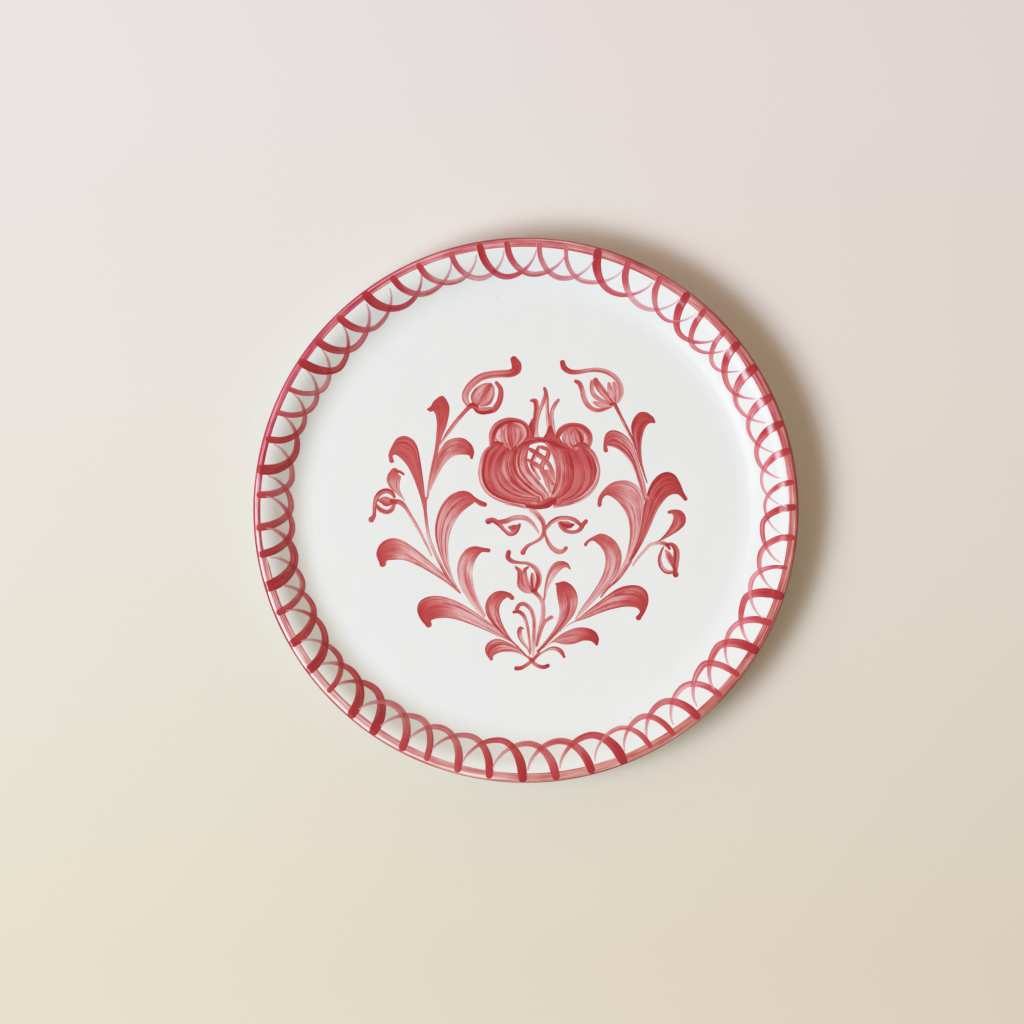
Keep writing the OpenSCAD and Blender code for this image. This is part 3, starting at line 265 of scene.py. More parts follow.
# three leaves at the upper left, and the stem that they share
STROKES["leaves_left_high"] = [
    (0.71, 0.76, 0.45, [(-68.5, 25.2, -65.9, 24.6), (-68.8, 28, -66.7, 27), (-67.2, 32, -65.4, 27.8),
        (-64.6, 36, -63.5, 26.7), (-60.5, 37.2, -61.3, 24.6), (-56.4, 35.2, -59.4, 22.2),
        (-54.2, 31.5, -57.7, 19), (-52.8, 25, -56.1, 15.6), (-51.6, 17, -54.4, 11),
        (-50.6, 8.5, -52.6, 5.5), (-50, 0, -51.1, -1), (-49.6, -4, -50.3, -4)]),
    (0.8, 0.73, 0.32, [(-49.2, 51, -49, 50), (-47.5, 52.3, -48, 49.2), (-46, 54.8, -46.4, 49.5),
        (-41.8, 57.3, -45.4, 48), (-38.6, 53, -44.9, 46), (-38.4, 48.5, -44.6, 42.5),
        (-39.8, 42, -44.9, 38), (-42.2, 36, -45.4, 33), (-44.2, 28, -46.4, 27), (-45.6, 22, -47.6, 21.5),
        (-47.5, 14, -49, 14), (-48.8, 6, -50, 6)]),
    (0.83, 0.45, 0.2, [(-26.4, 26.4, -28, 26.2), (-25.9, 29.4, -28.4, 27.3), (-27.3, 33, -30.5, 27.8),
        (-31, 35.9, -33.5, 27.8), (-35.2, 36.2, -36.3, 27), (-39.6, 34.6, -39.2, 24.9),
        (-42.6, 31, -41.6, 21.9), (-45, 26, -43.8, 18), (-47.2, 18.5, -46, 13.5),
        (-48.6, 11.8, -47.4, 10.2)]),
    (0.63, 0.28, 0.4, [(-50.1, 6, 1.4), (-50.4, 1, 1.7), (-50, -4, 1.7), (-49.4, -9, 1.7),
        (-48.4, -14.1, 1.7), (-46.4, -19.4, 1.6), (-44, -24.7, 1.6), (-41.1, -30.2, 1.5),
        (-38.3, -34.7, 1.4), (-35.2, -38.2, 1.2)]),
]
# the carnation bud at the top left: stem, outer curl, inner curl, petals and knot
STROKES["bud_top_left"] = [
    (0.7, 0.63, 0.4, [(-28, 52, 2.4), (-31, 48.9, 2), (-35, 44.2, 2), (-38.5, 39.6, 1.9), (-41, 36, 1.4),
        (-43.2, 32.5, 1)]),
    (0.86, 0.62, 0.32, [(-6, 75.4, 3.6), (-4.7, 72.6, 5), (-5, 70, 4.6), (-8, 68.5, 4), (-12.5, 68.3, 3.7),
        (-18, 67.8, 3.6), (-22.8, 66.4, 3.7), (-27, 63.2, 3.7), (-29.8, 59.5, 3.5), (-30.4, 56, 3.3),
        (-29, 53, 2.4)]),
    (0.74, 0.85, 0.55, [(-14.8, 63.8, 1.8), (-12.8, 61, 2.4), (-12.6, 57.5, 2.8), (-13.6, 53.8, 3),
        (-15.8, 50.6, 3), (-18.6, 49.2, 2.2)]),
    (0.5, 0.46, 0.42, [(-25.8, 54, 2.5), (-26, 57, 3.2), (-24, 60, 3.4), (-20.5, 62.3, 2.6),
        (-17.6, 63, 1.6)]),
    (0.43, 0.48, 0.6, [(-22.5, 52.8, 2), (-19.3, 54.2, 3.6), (-17.4, 57.5, 3.2), (-17, 61, 2.4),
        (-17.4, 63, 1.2)]),
    (0.47, 0.44, 0.45, [(-24.5, 53.2, 2.6), (-22.3, 56, 4), (-20, 59.5, 4.6), (-18.2, 62.2, 3)]),
    (0.85, 0.66, 0.78, [(-26.2, 52.6, 2.2), (-24, 50.2, 3.2), (-21, 49.7, 3.8), (-18, 50.2, 3.2)]),
    (0.8, 0.8, 0.75, [(-28, 52.2, 2.4), (-26.4, 52.4, 3.2), (-24.8, 51.8, 2.4)]),
]
# the bud at the left: small leaf, sepal, stem, outer curl and petals
STROKES["bud_side_left"] = [
    (0.7, 0.56, 0.37, [(-67.5, 20.3, -64, 17.9), (-69.3, 17.5, -62.6, 16.9), (-69.6, 14.5, -63.1, 14),
        (-68.3, 11.6, -63.3, 11.6), (-66, 9.3, -62.6, 9.2), (-63.6, 7.2, -61.7, 7),
        (-61.3, 5, -60.5, 4.8)]),
    (0.55, 0.55, 0.55, [(-61.3, 18.1, 1.3), (-63, 19.3, 1.5), (-65, 19.8, 1.6)]),
    (0.65, 0.41, 0.25, [(-66.5, 4.2, 2.6), (-63.2, 4, 2.6), (-60.5, 1.7, 2.1), (-57.7, -2.9, 1.7),
        (-54.6, -8, 1.6), (-51.9, -13, 1.4), (-49.3, -18.2, 1.2), (-47.2, -22.8, 0.8)]),
    (0.7, 0.5, 0.37, [(-77.4, -4.7, 3), (-76, -2.6, 2), (-75.8, 1.5, 1.9), (-75, 5.8, 2.3),
        (-72.9, 8.6, 2.6), (-70, 9.7, 2.6), (-67.4, 8.8, 2.5), (-65.9, 6.6, 1.6)]),
    (0.62, 0.45, 0.32, [(-74.6, 2.2, 1.8), (-72.8, 0.2, 2.4), (-69.8, -0.9, 2.5), (-67.2, 0.2, 2.4),
        (-66.1, 2.8, 2)]),
    (0.72, 0.67, 0.8, [(-73.6, 4.9, 1.4), (-71.4, 4.8, 4.2), (-69.4, 4.3, 4.8), (-67, 4.4, 3)]),
    (0.86, 0.9, 0.9, [(-67.4, 4.6, 2), (-65.8, 4.3, 2.6)]),
]
# the stems that rise from the knot at the bottom, with one broad leaf
STROKES["base_spray"] = [
    (0.72, 0.38, 0.38, [(-1.5, -59.2, 1), (-2.9, -59.2, 1.9), (-3.2, -61.5, 2.6), (-2.6, -64.2, 2.1),
        (-1.2, -66.6, 1.6), (0.8, -69, 1.2), (2, -71.5, 1)]),
    (0.88, 0.48, 0.5, [(-6, -51, 1.6), (-3.6, -50.8, 2), (-1, -53, 1.9), (0.4, -57, 1.7), (1.2, -61.5, 1.6),
        (1.8, -66, 1.4), (2.1, -70, 1.3), (1.9, -72, 1)]),
    (0.67, 0.4, 0.2, [(-4.6, -49.6, 2), (-3.2, -47.4, 2), (-0.6, -47.1, 2.1), (2.2, -49.4, 2.1),
        (3.8, -53.4, 2), (4.2, -58, 2), (4, -63, 2), (3.8, -68, 1.9), (3.4, -72.5, 1.4)]),
    (0.57, 0.55, 0.45, [(12.8, -53.6, 1.9), (10.8, -54.8, 1.9), (9.2, -56.4, 1.7), (7.6, -60, 1.6),
        (6.6, -63.5, 1.5), (5.6, -67.5, 1.1)]),
    (0.63, 0.32, 0.55, [(22.2, -28.6, 21.6, -29.6), (21.2, -26.7, 20.2, -28.6), (18.8, -25.5, 18.4, -29.2),
        (15.4, -25.7, 16, -31.4), (12.4, -28.2, 13.8, -34.4), (10.4, -32.6, 12, -37.4),
        (9.3, -38, 10.7, -40.4), (8.8, -43, 9.9, -43.8), (8.6, -46, 9.2, -46)]),
    (0.8, 0.37, 0.7, [(15.6, -36.4, 15.1, -37.6), (19.4, -35.6, 15.2, -39.6), (23.2, -37.8, 15.6, -43),
        (25.6, -42, 16.4, -47), (25.8, -47.2, 16.8, -50.8), (24, -52.2, 16.2, -54.4),
        (20.8, -56.4, 14.8, -58), (17, -60.6, 12.6, -61.6), (13, -64.6, 10, -65), (9.4, -68.2, 7.6, -68),
        (6.8, -71, 5.4, -70.2)]),
    (0.73, 0.45, 0.9, [(19.6, -72.8, 18.5, -73.9), (19, -71, 17.2, -72), (17.8, -69.4, 15.4, -70.6),
        (15, -68.2, 13.4, -70.1), (11.8, -68.6, 11.2, -70.3), (8.4, -70.6, 8.4, -71.7),
        (5.4, -72.8, 5.8, -73.8), (3, -75, 3.4, -75.6)]),
]
# the drooping tulip below the fruit: stem, cap, petals and knot
STROKES["low_tulip"] = [
    (0.63, 0.15, 0.4, [(3.6, -40.4, 2.4), (6.4, -43, 2), (8.2, -46, 2.2), (8.7, -50, 2.2),
        (8.3, -54.5, 2.2), (7, -59.5, 1.8), (6, -64, 1.5), (5.3, -68, 1)]),
    (0.76, 0.34, 0.7, [(-8.6, -21, 2.4), (-9, -23.6, 2.5), (-6.8, -25.6, 2.2), (-3, -26.3, 1.6),
        (1, -26.7, 1.9), (4.8, -29.2, 2.6), (6.5, -33, 2.9), (6.2, -37, 2.7), (4.6, -39.8, 2)]),
    (0.47, 0.52, 0.75, [(3.2, -32, 1.6), (3.4, -34.5, 2.6), (3.6, -37.5, 2.6), (3.9, -40, 2)]),
    (0.78, 0.5, 0.45, [(1, -28.6, 1.2), (-0.6, -30.2, 2), (-0.4, -34, 3), (0.8, -37.4, 3.2),
        (3, -40.2, 2.2)]),
    (0.65, 0.6, 0.4, [(-5, -28.6, 1.4), (-3.2, -30.6, 2.4), (-2.8, -34, 3), (-2.5, -37.5, 3.6), (0, -40, 3),
        (3.2, -40.8, 1.8)]),
    (0.82, 0.82, 0.8, [(3.6, -40.2, 2.6), (5, -39.8, 2)]),
]
# the ends of the stems, crossed below the knot
STROKES["knot_tails"] = [
    (0.4, 0.32, 0.57, [(6.5, -71.5, 1.4), (4.6, -73.8, 1.8), (2.8, -75.6, 1.8), (0.4, -77.4, 1.9),
        (-2.4, -79, 2), (-4.8, -79.2, 2.3)]),
    (0.3, 0.25, 0.55, [(1, -73.4, 1.4), (2.5, -75, 1.6), (5, -77.4, 1.9), (8.5, -78.6, 2),
        (11, -77.9, 2.1)]),
    (0.75, 0.78, 0.95, [(2.6, -74.6, 1.8), (3.6, -75.4, 1.8)]),
]
# two leaves at the lower right
STROKES["leaves_right_low"] = [
    (0.95, 0.6, 0.55, [(36.2, -66.8, 34.6, -67.2), (36.6, -64.4, 33, -65.8), (35, -61, 30.8, -65.3),
        (31.4, -59.1, 28, -65.5), (26.5, -58.7, 24.6, -66.8), (21.8, -59.9, 20.8, -67.3),
        (18, -61.9, 17.4, -66.9), (15, -64, 14.6, -66.2), (12.4, -66, 12.2, -66.8), (8.5, -69, 8.2, -69.6),
        (5, -72.4, 4.8, -73)]),
    (0.9, 0.5, 0.65, [(57.6, -54.4, 55.1, -53.2), (60, -50.2, 57, -51), (61.4, -45.6, 55.6, -49),
        (60.6, -41, 52.6, -48.4), (57, -38, 49, -48.4), (51.6, -37.6, 44.8, -49.2),
        (46, -39.2, 40.2, -50.4), (40.8, -42.6, 35.8, -52), (35.6, -46.6, 31.8, -53.6),
        (30.6, -50.4, 27.8, -55), (25.6, -54.6, 24, -56.2), (21, -57.4, 20.4, -58.2),
        (17.6, -60.4, 17.2, -60.8)]),
]
# three leaves at the middle right, and the stem that they share
STROKES["leaves_right_middle"] = [
    (0.72, 0.38, 0.23, [(29.4, -16.4, 30.4, -18), (31.2, -14.6, 31.6, -16.1), (34.4, -12.8, 33.6, -15.3),
        (37.8, -11.7, 35.6, -16.6), (42, -13.2, 37.8, -18.8), (45.8, -16.8, 39.4, -22),
        (47.9, -22, 39.8, -26), (47.6, -27.4, 39, -30.4), (46, -32, 37.6, -34), (43, -36, 35.4, -38),
        (39.4, -40, 32.6, -42.2), (35, -44.6, 29.6, -46.4), (30.4, -49.4, 26.6, -50.6),
        (25.8, -54, 24.6, -54.6)]),
    (0.76, 0.3, 0.18, [(35.8, 2.8, 37.9, 2.5), (36.2, 6.2, 38.4, 5.6), (38.6, 10, 40.4, 7.4),
        (42.6, 13.5, 43.4, 6.4), (47.4, 14.9, 46.6, 3.6), (52, 14.4, 49.2, 0), (56, 11.8, 51, -3.8),
        (58.4, 7.6, 51.9, -8.4), (59.2, 1, 52, -13.4), (58.6, -6, 51.4, -17.6), (57, -13, 50.6, -21.4),
        (54.2, -19.6, 49.4, -25), (51.2, -25.4, 47.6, -28.8), (47.8, -31, 45.4, -32.6)]),
    (0.9, 0.7, 0.95, [(80.6, 6.4, 79.2, 4.9), (79, 9.2, 77.2, 7.1), (77.4, 13.2, 75.4, 8),
        (74.6, 17.7, 73, 7.8), (70.8, 19.2, 70.6, 6.4), (67, 18, 68.2, 3.6), (63.8, 15, 66, 0.2),
        (61.4, 10.6, 64.2, -3.6), (59.8, 5, 62.6, -7.6), (58.4, -1.5, 60.8, -11.6),
        (57.2, -8.5, 58.9, -15.4), (55.8, -15, 56.6, -19.6), (53.6, -21, 54.2, -23.6),
        (51.6, -25, 52.4, -25.8)]),
    (0.6, 0.58, 0.5, [(52.5, -25.5, 1.4), (50, -29, 1.8), (47, -33, 2), (44.5, -36, 1.5),
        (41.5, -38.6, 1.2), (39, -41.5, 1), (37.5, -43.5, 0.8)]),
]
# two leaves at the upper right
STROKES["leaves_right_high"] = [
    (0.7, 0.42, 0.45, [(38.8, 30.2, 41.3, 30), (38.8, 33.4, 40.8, 32.1), (39.8, 37.8, 43.4, 31.7),
        (42.6, 40, 46, 30.6), (46.4, 39.5, 48.8, 28.3), (50.4, 37, 51.3, 25.3), (53.4, 33, 53.3, 21.9),
        (55.4, 28, 54.9, 18), (57.2, 21.4, 56.2, 14), (59.4, 14, 57.8, 9), (60.4, 8, 59.2, 4.4)]),
    (0.84, 0.6, 0.95, [(64.6, 45, 63.4, 43.7), (63.6, 46.8, 61.8, 43.4), (60.4, 49, 60.2, 41.9),
        (56.8, 48.9, 59, 39.2), (54, 46, 58.2, 36), (52.6, 41.6, 57.8, 32), (53.6, 36, 57.9, 28),
        (55, 30, 58.4, 23.6), (56.8, 23.6, 59.4, 19.2), (59, 17.4, 60.6, 15), (60.4, 13.6, 60.9, 13.6)]),
]
# the carnation bud at the top right: stem, outer curl, inner curl, petals and knot
STROKES["bud_top_right"] = [
    (0.78, 0.57, 0.57, [(44.5, 53, 2), (46, 50, 1.7), (48, 46, 1.6), (50, 42, 1.7), (52, 38, 1.6),
        (53.5, 35, 1.4), (55, 31, 1.2)]),
    (0.86, 0.5, 0.28, [(18.3, 73.9, 2.7), (19.3, 71.2, 2.9), (22.4, 69.3, 2.6), (26.5, 69.2, 2.3),
        (31.5, 70, 2.1), (36, 70.2, 2.3), (40.5, 69.2, 2.4), (44.6, 66.6, 2.5), (47.2, 62.6, 2.5),
        (47.6, 58.2, 2.7), (46.2, 54.2, 1.2)]),
    (0.73, 0.27, 0.35, [(24.9, 64.6, 1.8), (26.8, 63.4, 2.4), (28.2, 60, 2.5), (29, 56.4, 2.7),
        (30.6, 53.2, 2.6), (33.2, 50.9, 2.3), (36.2, 50, 2.1), (39.5, 50.6, 1.6), (42.6, 51.7, 1)]),
    (0.45, 0.38, 0.45, [(44, 63.6, 1.8), (45, 60, 3.2), (45.2, 57, 3), (45, 54.2, 1.8)]),
    (0.47, 0.38, 0.43, [(41.6, 63.4, 1.6), (42.2, 60, 3), (43.2, 57, 3.6), (44.2, 54.4, 2.4)]),
    (0.48, 0.52, 0.57, [(34.2, 54, 1.6), (36.4, 53, 2.6), (39, 52.3, 2.4), (42.4, 52.3, 1.6)]),
    (0.45, 0.37, 0.5, [(33.2, 64.2, 2.2), (33, 60.6, 2.2), (34.2, 57.6, 2.4), (37, 55.4, 2.2),
        (40, 54, 1.8), (43, 52.9, 1.2)]),
    (0.76, 0.53, 0.8, [(36.2, 65.2, 33.6, 65), (38.4, 62.4, 34.4, 62), (40.8, 59, 36.6, 58.6),
        (43, 55.8, 39.8, 55.4), (44.6, 53.4, 43, 52.8)]),
    (0.76, 0.79, 0.91, [(42.6, 53, 1.8), (44.4, 53.2, 2.2)]),
]
# the bud at the right: small leaf, stem, outer curl, petals, inner curl and knot
STROKES["bud_side_right"] = [
    (0.78, 0.67, 0.95, [(71.5, -0.2, 71.9, -1.8), (74.4, 0.4, 73.4, -2), (77.6, -0.2, 73.8, -3.8),
        (79.8, -2.8, 73.2, -6.2), (79.8, -6.6, 72, -8.6), (77, -9.8, 70.5, -10.8), (73, -12.4, 68.8, -12.9),
        (69, -14.6, 67, -14.7), (65.4, -16, 65, -15.9)]),
    (0.25, 0.3, 0.8, [(53.5, -27.6, 1), (56, -24, 1.2), (59.5, -20, 1.4), (62, -17.5, 1.6),
        (65, -16.6, 1.8), (68, -16.4, 2), (70.5, -17.3, 2.2)]),
    (0.73, 0.7, 0.95, [(70.6, -16.9, 1.2), (73.4, -17.4, 2.2), (75.2, -20, 3), (75.3, -24, 3.2),
        (74.9, -28, 2.8), (74.7, -30.4, 2.4), (75, -32.2, 3)]),
    (0.38, 0.65, 0.9, [(70, -20.4, 1.4), (71.2, -22.2, 3), (72.6, -25, 3.2), (73.8, -27.8, 2.2),
        (74.5, -30, 1.6)]),
    (0.8, 0.57, 0.83, [(68.8, -18.6, 0.9), (67.5, -21.5, 1.3), (66.9, -25, 1.9), (68, -28.6, 2.2),
        (70.6, -30.9, 2.1), (73.4, -31, 1.6)]),
    (0.86, 0.92, 0.95, [(70.8, -17.6, 1.8), (72, -19.4, 1.2)]),
]
# the curled tendril to the left of the fruit's foot
STROKES["scroll_left"] = [
    (0.19, 0.5, 0.85, [(2.6, 0.2, 2.6), (5.6, -2.2, 2.8), (8, -5.2, 2.6), (9, -8.4, 2.4), (8.9, -11.6, 2.2),
        (7, -14.4, 1.8), (3.8, -16.3, 1.4), (1, -17.8, 1.7), (-0.8, -19.9, 2.1), (-1.5, -21.2, 2.6)]),
    (0.74, 0.28, 0.12, [(-14, -5.6, 1.6), (-10.6, -5.6, 2.6), (-7, -4.2, 2.6), (-3.4, -3.6, 2.6),
        (0.2, -4.2, 2.4), (3.2, -6.6, 2), (5.2, -9.4, 1.4), (6.4, -11.4, 0.7)]),
    (0.52, 0.5, 0.72, [(-8.2, -8.6, 1.6), (-6.6, -9, 3.6), (-5, -9, 3.8), (-3.4, -7.6, 1.6)]),
    (0.78, 0.67, 0.9, [(-18.9, -5.6, 3), (-16.6, -5, 2.6), (-13.6, -6.8, 2.6), (-11, -9.8, 1.8),
        (-8.4, -11.8, 2.2), (-5.6, -11.2, 2.4), (-3.8, -8.6, 2), (-3.2, -7.2, 1.4)]),
]
# the curled tendril to the right of the fruit's foot
STROKES["scroll_right"] = [
    (0.7, 0.63, 0.95, [(9.6, -11.8, 1), (10.8, -15.4, 1.8), (13, -18.8, 2.4), (16, -20.7, 2.6),
        (18.4, -20.6, 2), (20, -19, 2)]),
    (0.76, 0.45, 0.7, [(17.6, -6.4, 2), (19.8, -7.2, 4), (22, -7.6, 3.2), (23.8, -7.2, 1.2)]),
    (0.5, 0.55, 0.83, [(10.2, -9, 1.6), (12.6, -6.2, 2.1), (16.2, -4.2, 2.2), (20.4, -3.8, 2),
        (24.2, -4.8, 2.1), (27, -7, 2)]),
    (0.82, 0.73, 0.72, [(30, -5.6, 2.2), (28.6, -7.2, 2.2), (27.4, -9.2, 2.2), (25.6, -10.6, 1.8),
        (22.8, -11, 1.8), (19.6, -10.2, 1.8), (17.4, -8.2, 1.6), (16.4, -6.2, 1.2)]),
]
# the crown of the fruit: two sides, three stamens and two shadows
STROKES["pomegranate_crown"] = [
    (0.55, 0.4, 0.92, [(2.6, 54.9, 1.4), (4.6, 54.6, 2.6), (5.2, 51.6, 2.6), (4.8, 48, 2.4),
        (4.4, 44.6, 2.4), (3.4, 41, 3), (2.6, 37.6, 3.6)]),
    (0.6, 0.45, 0.5, [(16.2, 55.1, 1.6), (14.4, 52.6, 2), (13, 49, 2), (12.8, 45, 2.6), (13.4, 41, 2.4),
        (14.6, 37.6, 1.6)]),
    (0.67, 0.35, 0.15, [(9.6, 60.4, 1.6), (10.4, 56.6, 2), (10.6, 52, 1.8), (10.8, 47, 1.8),
        (11, 42, 1.8)]),
    (0.7, 0.54, 0.22, [(9.3, 60.9, 1.7), (10, 58, 2.2), (8.6, 54, 2), (7, 50, 1.8), (5.6, 45, 1.8),
        (5.2, 40, 1.8), (5.8, 36.2, 1.6)]),
    (0.94, 0.86, 0.7, [(10.8, 41.2, 13.4, 41.2), (10, 38.4, 14.8, 38.2), (8.8, 36, 17, 36),
        (11.4, 33.8, 18, 33.4)]),
    (0.75, 0.95, 0.6, [(3.6, 45, 2), (2.8, 41.4, 3.4), (2, 37.6, 4)]),
]
# the rind of the fruit: two outlines, then shading strokes from the outside in
STROKES["pomegranate_fruit"] = [
    (0.4, 0.13, 0.4, [(-17, 32.4, 1.6), (-20.6, 28.6, 2), (-22.6, 22.5, 2), (-22.8, 16.5, 2),
        (-20.8, 11, 2), (-16.5, 7, 2), (-10.5, 4.4, 1.8), (-3.5, 2.8, 1.6), (1, 1.6, 1.6)]),
    (0.42, 0.22, 0.35, [(31, 31.2, 1.6), (33.6, 28.4, 2), (35.4, 24.6, 1.8), (36.4, 19.6, 1.7),
        (35, 13.6, 2), (31.2, 8.4, 2.4), (26, 5, 2.2), (20, 3, 2), (15, 2.2, 1.4)]),
    (0.7, 0.74, 0.66, [(-14.5, 32.4, 3), (-18.6, 28.5, 4.2), (-20.5, 21.5, 4), (-20, 14.5, 4),
        (-16.5, 9.4, 4), (-10, 6, 3.4), (-3, 4.2, 2.6), (3, 3.4, 2.4)]),
    (0.7, 0.7, 0.58, [(-12, 31, 4), (-16, 26, 4.6), (-17.4, 20, 3.6), (-16.4, 14.4, 3.4), (-12.5, 9.6, 3.2),
        (-6.5, 6.6, 2.6), (1, 5.4, 2.2), (6, 5, 2)]),
    (0.81, 0.69, 0.35, [(-8.5, 30.6, 4.4), (-12.4, 25.5, 4.6), (-14.2, 19.6, 3.4), (-12.6, 14, 3),
        (-8.5, 9.8, 2.8), (-3, 7.4, 2.4), (4, 6.2, 1.8)]),
    (0.78, 0.48, 0.45, [(-11, 31, 2, 33), (-13.5, 26, 1, 28.6), (-14, 20.5, 0.7, 24.4), (-12, 15, 2.2, 20),
        (-8, 10.6, 6, 15.4), (-2.5, 7.8, 9.4, 11.2), (4, 6, 11.6, 7.8)]),
    (0.74, 0.72, 0.6, [(31.5, 30, 24, 30), (34.6, 25.6, 26, 25), (35.8, 19.6, 27.6, 19),
        (34.4, 13.8, 27.2, 13), (30, 8.6, 24, 8.2), (24, 5, 18, 5), (17, 3.4, 13, 4)]),
    (0.8, 0.72, 0.6, [(25.6, 30.4, 18, 30), (28, 25, 19, 25), (29, 19, 19.8, 19), (28.2, 13, 18.8, 13),
        (25, 8, 16, 9), (18.6, 4.9, 12.6, 6)]),
    (0.62, 0.58, 0.3, [(18.6, 31.6, 10.8, 33.4), (20.2, 26, 13, 28.4), (20.8, 20, 14.8, 22),
        (20, 14, 14.8, 15), (17.6, 8.8, 13.4, 9.8), (14, 5.6, 11.8, 7)]),
    (0.69, 0.68, 0.71, [(-9, 31, 3.4), (-4, 32.6, 4.6), (0.6, 34.4, 4.4), (5, 35.2, 3.2), (9, 35.1, 2.8),
        (14, 33.6, 4.2), (19.5, 31.2, 3.8)]),
]
# the seeds seen through the split in the rind
STROKES["pomegranate_window"] = [
    (0.42, 0.45, 0.4, [(8, 17.8, 13.6, 17.6), (9.4, 13.4, 14.2, 13), (11.2, 9.6, 13.8, 9)]),
    (0.3, 0.25, 0.4, [(10.4, 33.2, 1.6), (13.2, 29.4, 2.2), (15.1, 24.6, 2.4), (15.7, 19.6, 2.4),
        (15.2, 14, 2.4), (13.6, 8.8, 2)]),
    (0.6, 0.45, 0.18, [(6.4, 31.7, 1.6), (5.4, 29.2, 2.2), (3.9, 26.1, 2.4), (3, 22.9, 2.2),
        (4.1, 20.1, 1.9), (5.7, 17.5, 1.6), (7, 15.7, 1.3)]),
    (0.72, 0.6, 0.45, [(7.8, 31.6, 1.8), (11.2, 29.9, 2.2), (10.7, 26.6, 2.5), (8.5, 23.4, 2.5),
        (7.9, 20.2, 2.3), (9.5, 16.6, 2), (10.8, 13.2, 1.6)]),
    (0.7, 0.66, 0.65, [(0.9, 25.2, 1.4), (3.7, 23.5, 2.4), (6.9, 21.5, 2.4), (9.3, 18.6, 2.3),
        (11.4, 15.8, 2.2), (13.3, 13.2, 2)]),
    (0.76, 0.7, 0.35, [(2.2, 30.4, 2), (5.8, 28.1, 2.5), (9.4, 25.4, 2.5), (11.9, 22, 2.3),
        (13.3, 18.6, 2.1), (13.9, 15.2, 1.6)]),
]
# the left petal of the calyx: ribs, then the outline over them
STROKES["pomegranate_left_lobe"] = [
    (0.6, 0.3, 0.31, [(-9.2, 43.8, -6.6, 43.9), (-13, 42, -2.6, 42.2), (-15.6, 39.6, 0.2, 40),
        (-15.8, 36.2, 0.6, 36.6), (-12.6, 32.8, -2.6, 33.2), (-8.6, 31, -6.8, 31.1)]),
    (0.47, 0.25, 0.3, [(-12.4, 42.4, 1), (-11.9, 38.6, 1.4), (-10.2, 34.6, 1), (-8.7, 32.2, 0.8)]),
    (0.83, 0.72, 0.75, [(-7.8, 44.6, 3), (-8.2, 40.4, 3.4), (-8, 36.4, 3.2), (-7.2, 32.4, 2)]),
    (0.6, 0.33, 0.2, [(-5.4, 43.4, 1.4), (-3.4, 40.6, 1.1), (-3.1, 37.4, 1), (-4.4, 33.6, 0.8)]),
    (0.35, 0.43, 0.55, [(-5, 45.6, -5.6, 43.2), (-0.8, 44, -2.6, 41.6), (1.4, 41, -1.4, 39.2),
        (1.8, 37.4, -1.4, 36.8), (-0.4, 34.2, -2.8, 34.6), (-3.6, 31.8, -4.8, 32.4)]),
    (0.48, 0.77, 0.53, [(-17, 33.4, 2.8), (-16.6, 38, 3.8), (-14.2, 42.2, 3.8), (-10, 44.5, 3.4),
        (-5.6, 44.9, 2.6), (-1.2, 43.6, 2), (1.2, 40.9, 1.6), (1.7, 37.4, 1.2)]),
    (0.51, 0.7, 0.85, [(-17.4, 33.2, 1.6), (-14.5, 33.4, 2.6), (-12, 33.2, 2)]),
]
# the right petal of the calyx: ribs, then the outline over them
STROKES["pomegranate_right_lobe"] = [
    (0.5, 0.45, 0.57, [(23.8, 41.2, 25.8, 41.3), (20.6, 40, 28.4, 40.2), (18.4, 38, 30.2, 38),
        (18.2, 35, 30.6, 35), (20.4, 32, 29.4, 32), (23.8, 30.6, 26, 30.7)]),
    (0.65, 0.48, 0.4, [(23.6, 40.4, 0.9), (22.5, 36.6, 1.1), (23.2, 33.4, 1), (25.2, 31.2, 0.8)]),
    (0.6, 0.56, 0.65, [(24.8, 40, 2.8), (26.1, 37.4, 5.4), (26.7, 35, 5.4), (26.9, 32.8, 3.4)]),
    (0.78, 0.52, 0.31, [(15.8, 36.8, 2.4), (17.6, 39.9, 3.2), (20.8, 41.9, 3.2), (24.6, 42.4, 2.8),
        (28.6, 41.2, 3), (31.4, 38, 3.2), (31.8, 34.4, 3), (30.8, 31.4, 2.2)]),
    (0.74, 0.83, 0.62, [(24.6, 32.2, 1.8), (27.8, 33, 3), (31, 31.8, 2.4)]),
]
# the strokes at the fruit's foot, where the stem joins
STROKES["pomegranate_base"] = [
    (0.2, 0.65, 0.45, [(-10, 3.2, 0.9), (-5, 2.4, 1), (-0.5, 1.4, 1.2)]),
    (0.2, 0.37, 0.58, [(14, 1.6, 1.2), (18, 2.4, 1.4), (23, 3.8, 1.6)]),
    (0.6, 0.42, 0.6, [(1.2, 3.6, 1.2), (4, 3.4, 1.4), (6, 3, 1.4)]),
    (0.58, 0.62, 0.68, [(0.8, 2.6, 2.6), (3.4, 2, 3), (7, 2.2, 3.6), (10.4, 3.4, 4.8), (13, 4.8, 3.8)]),
]

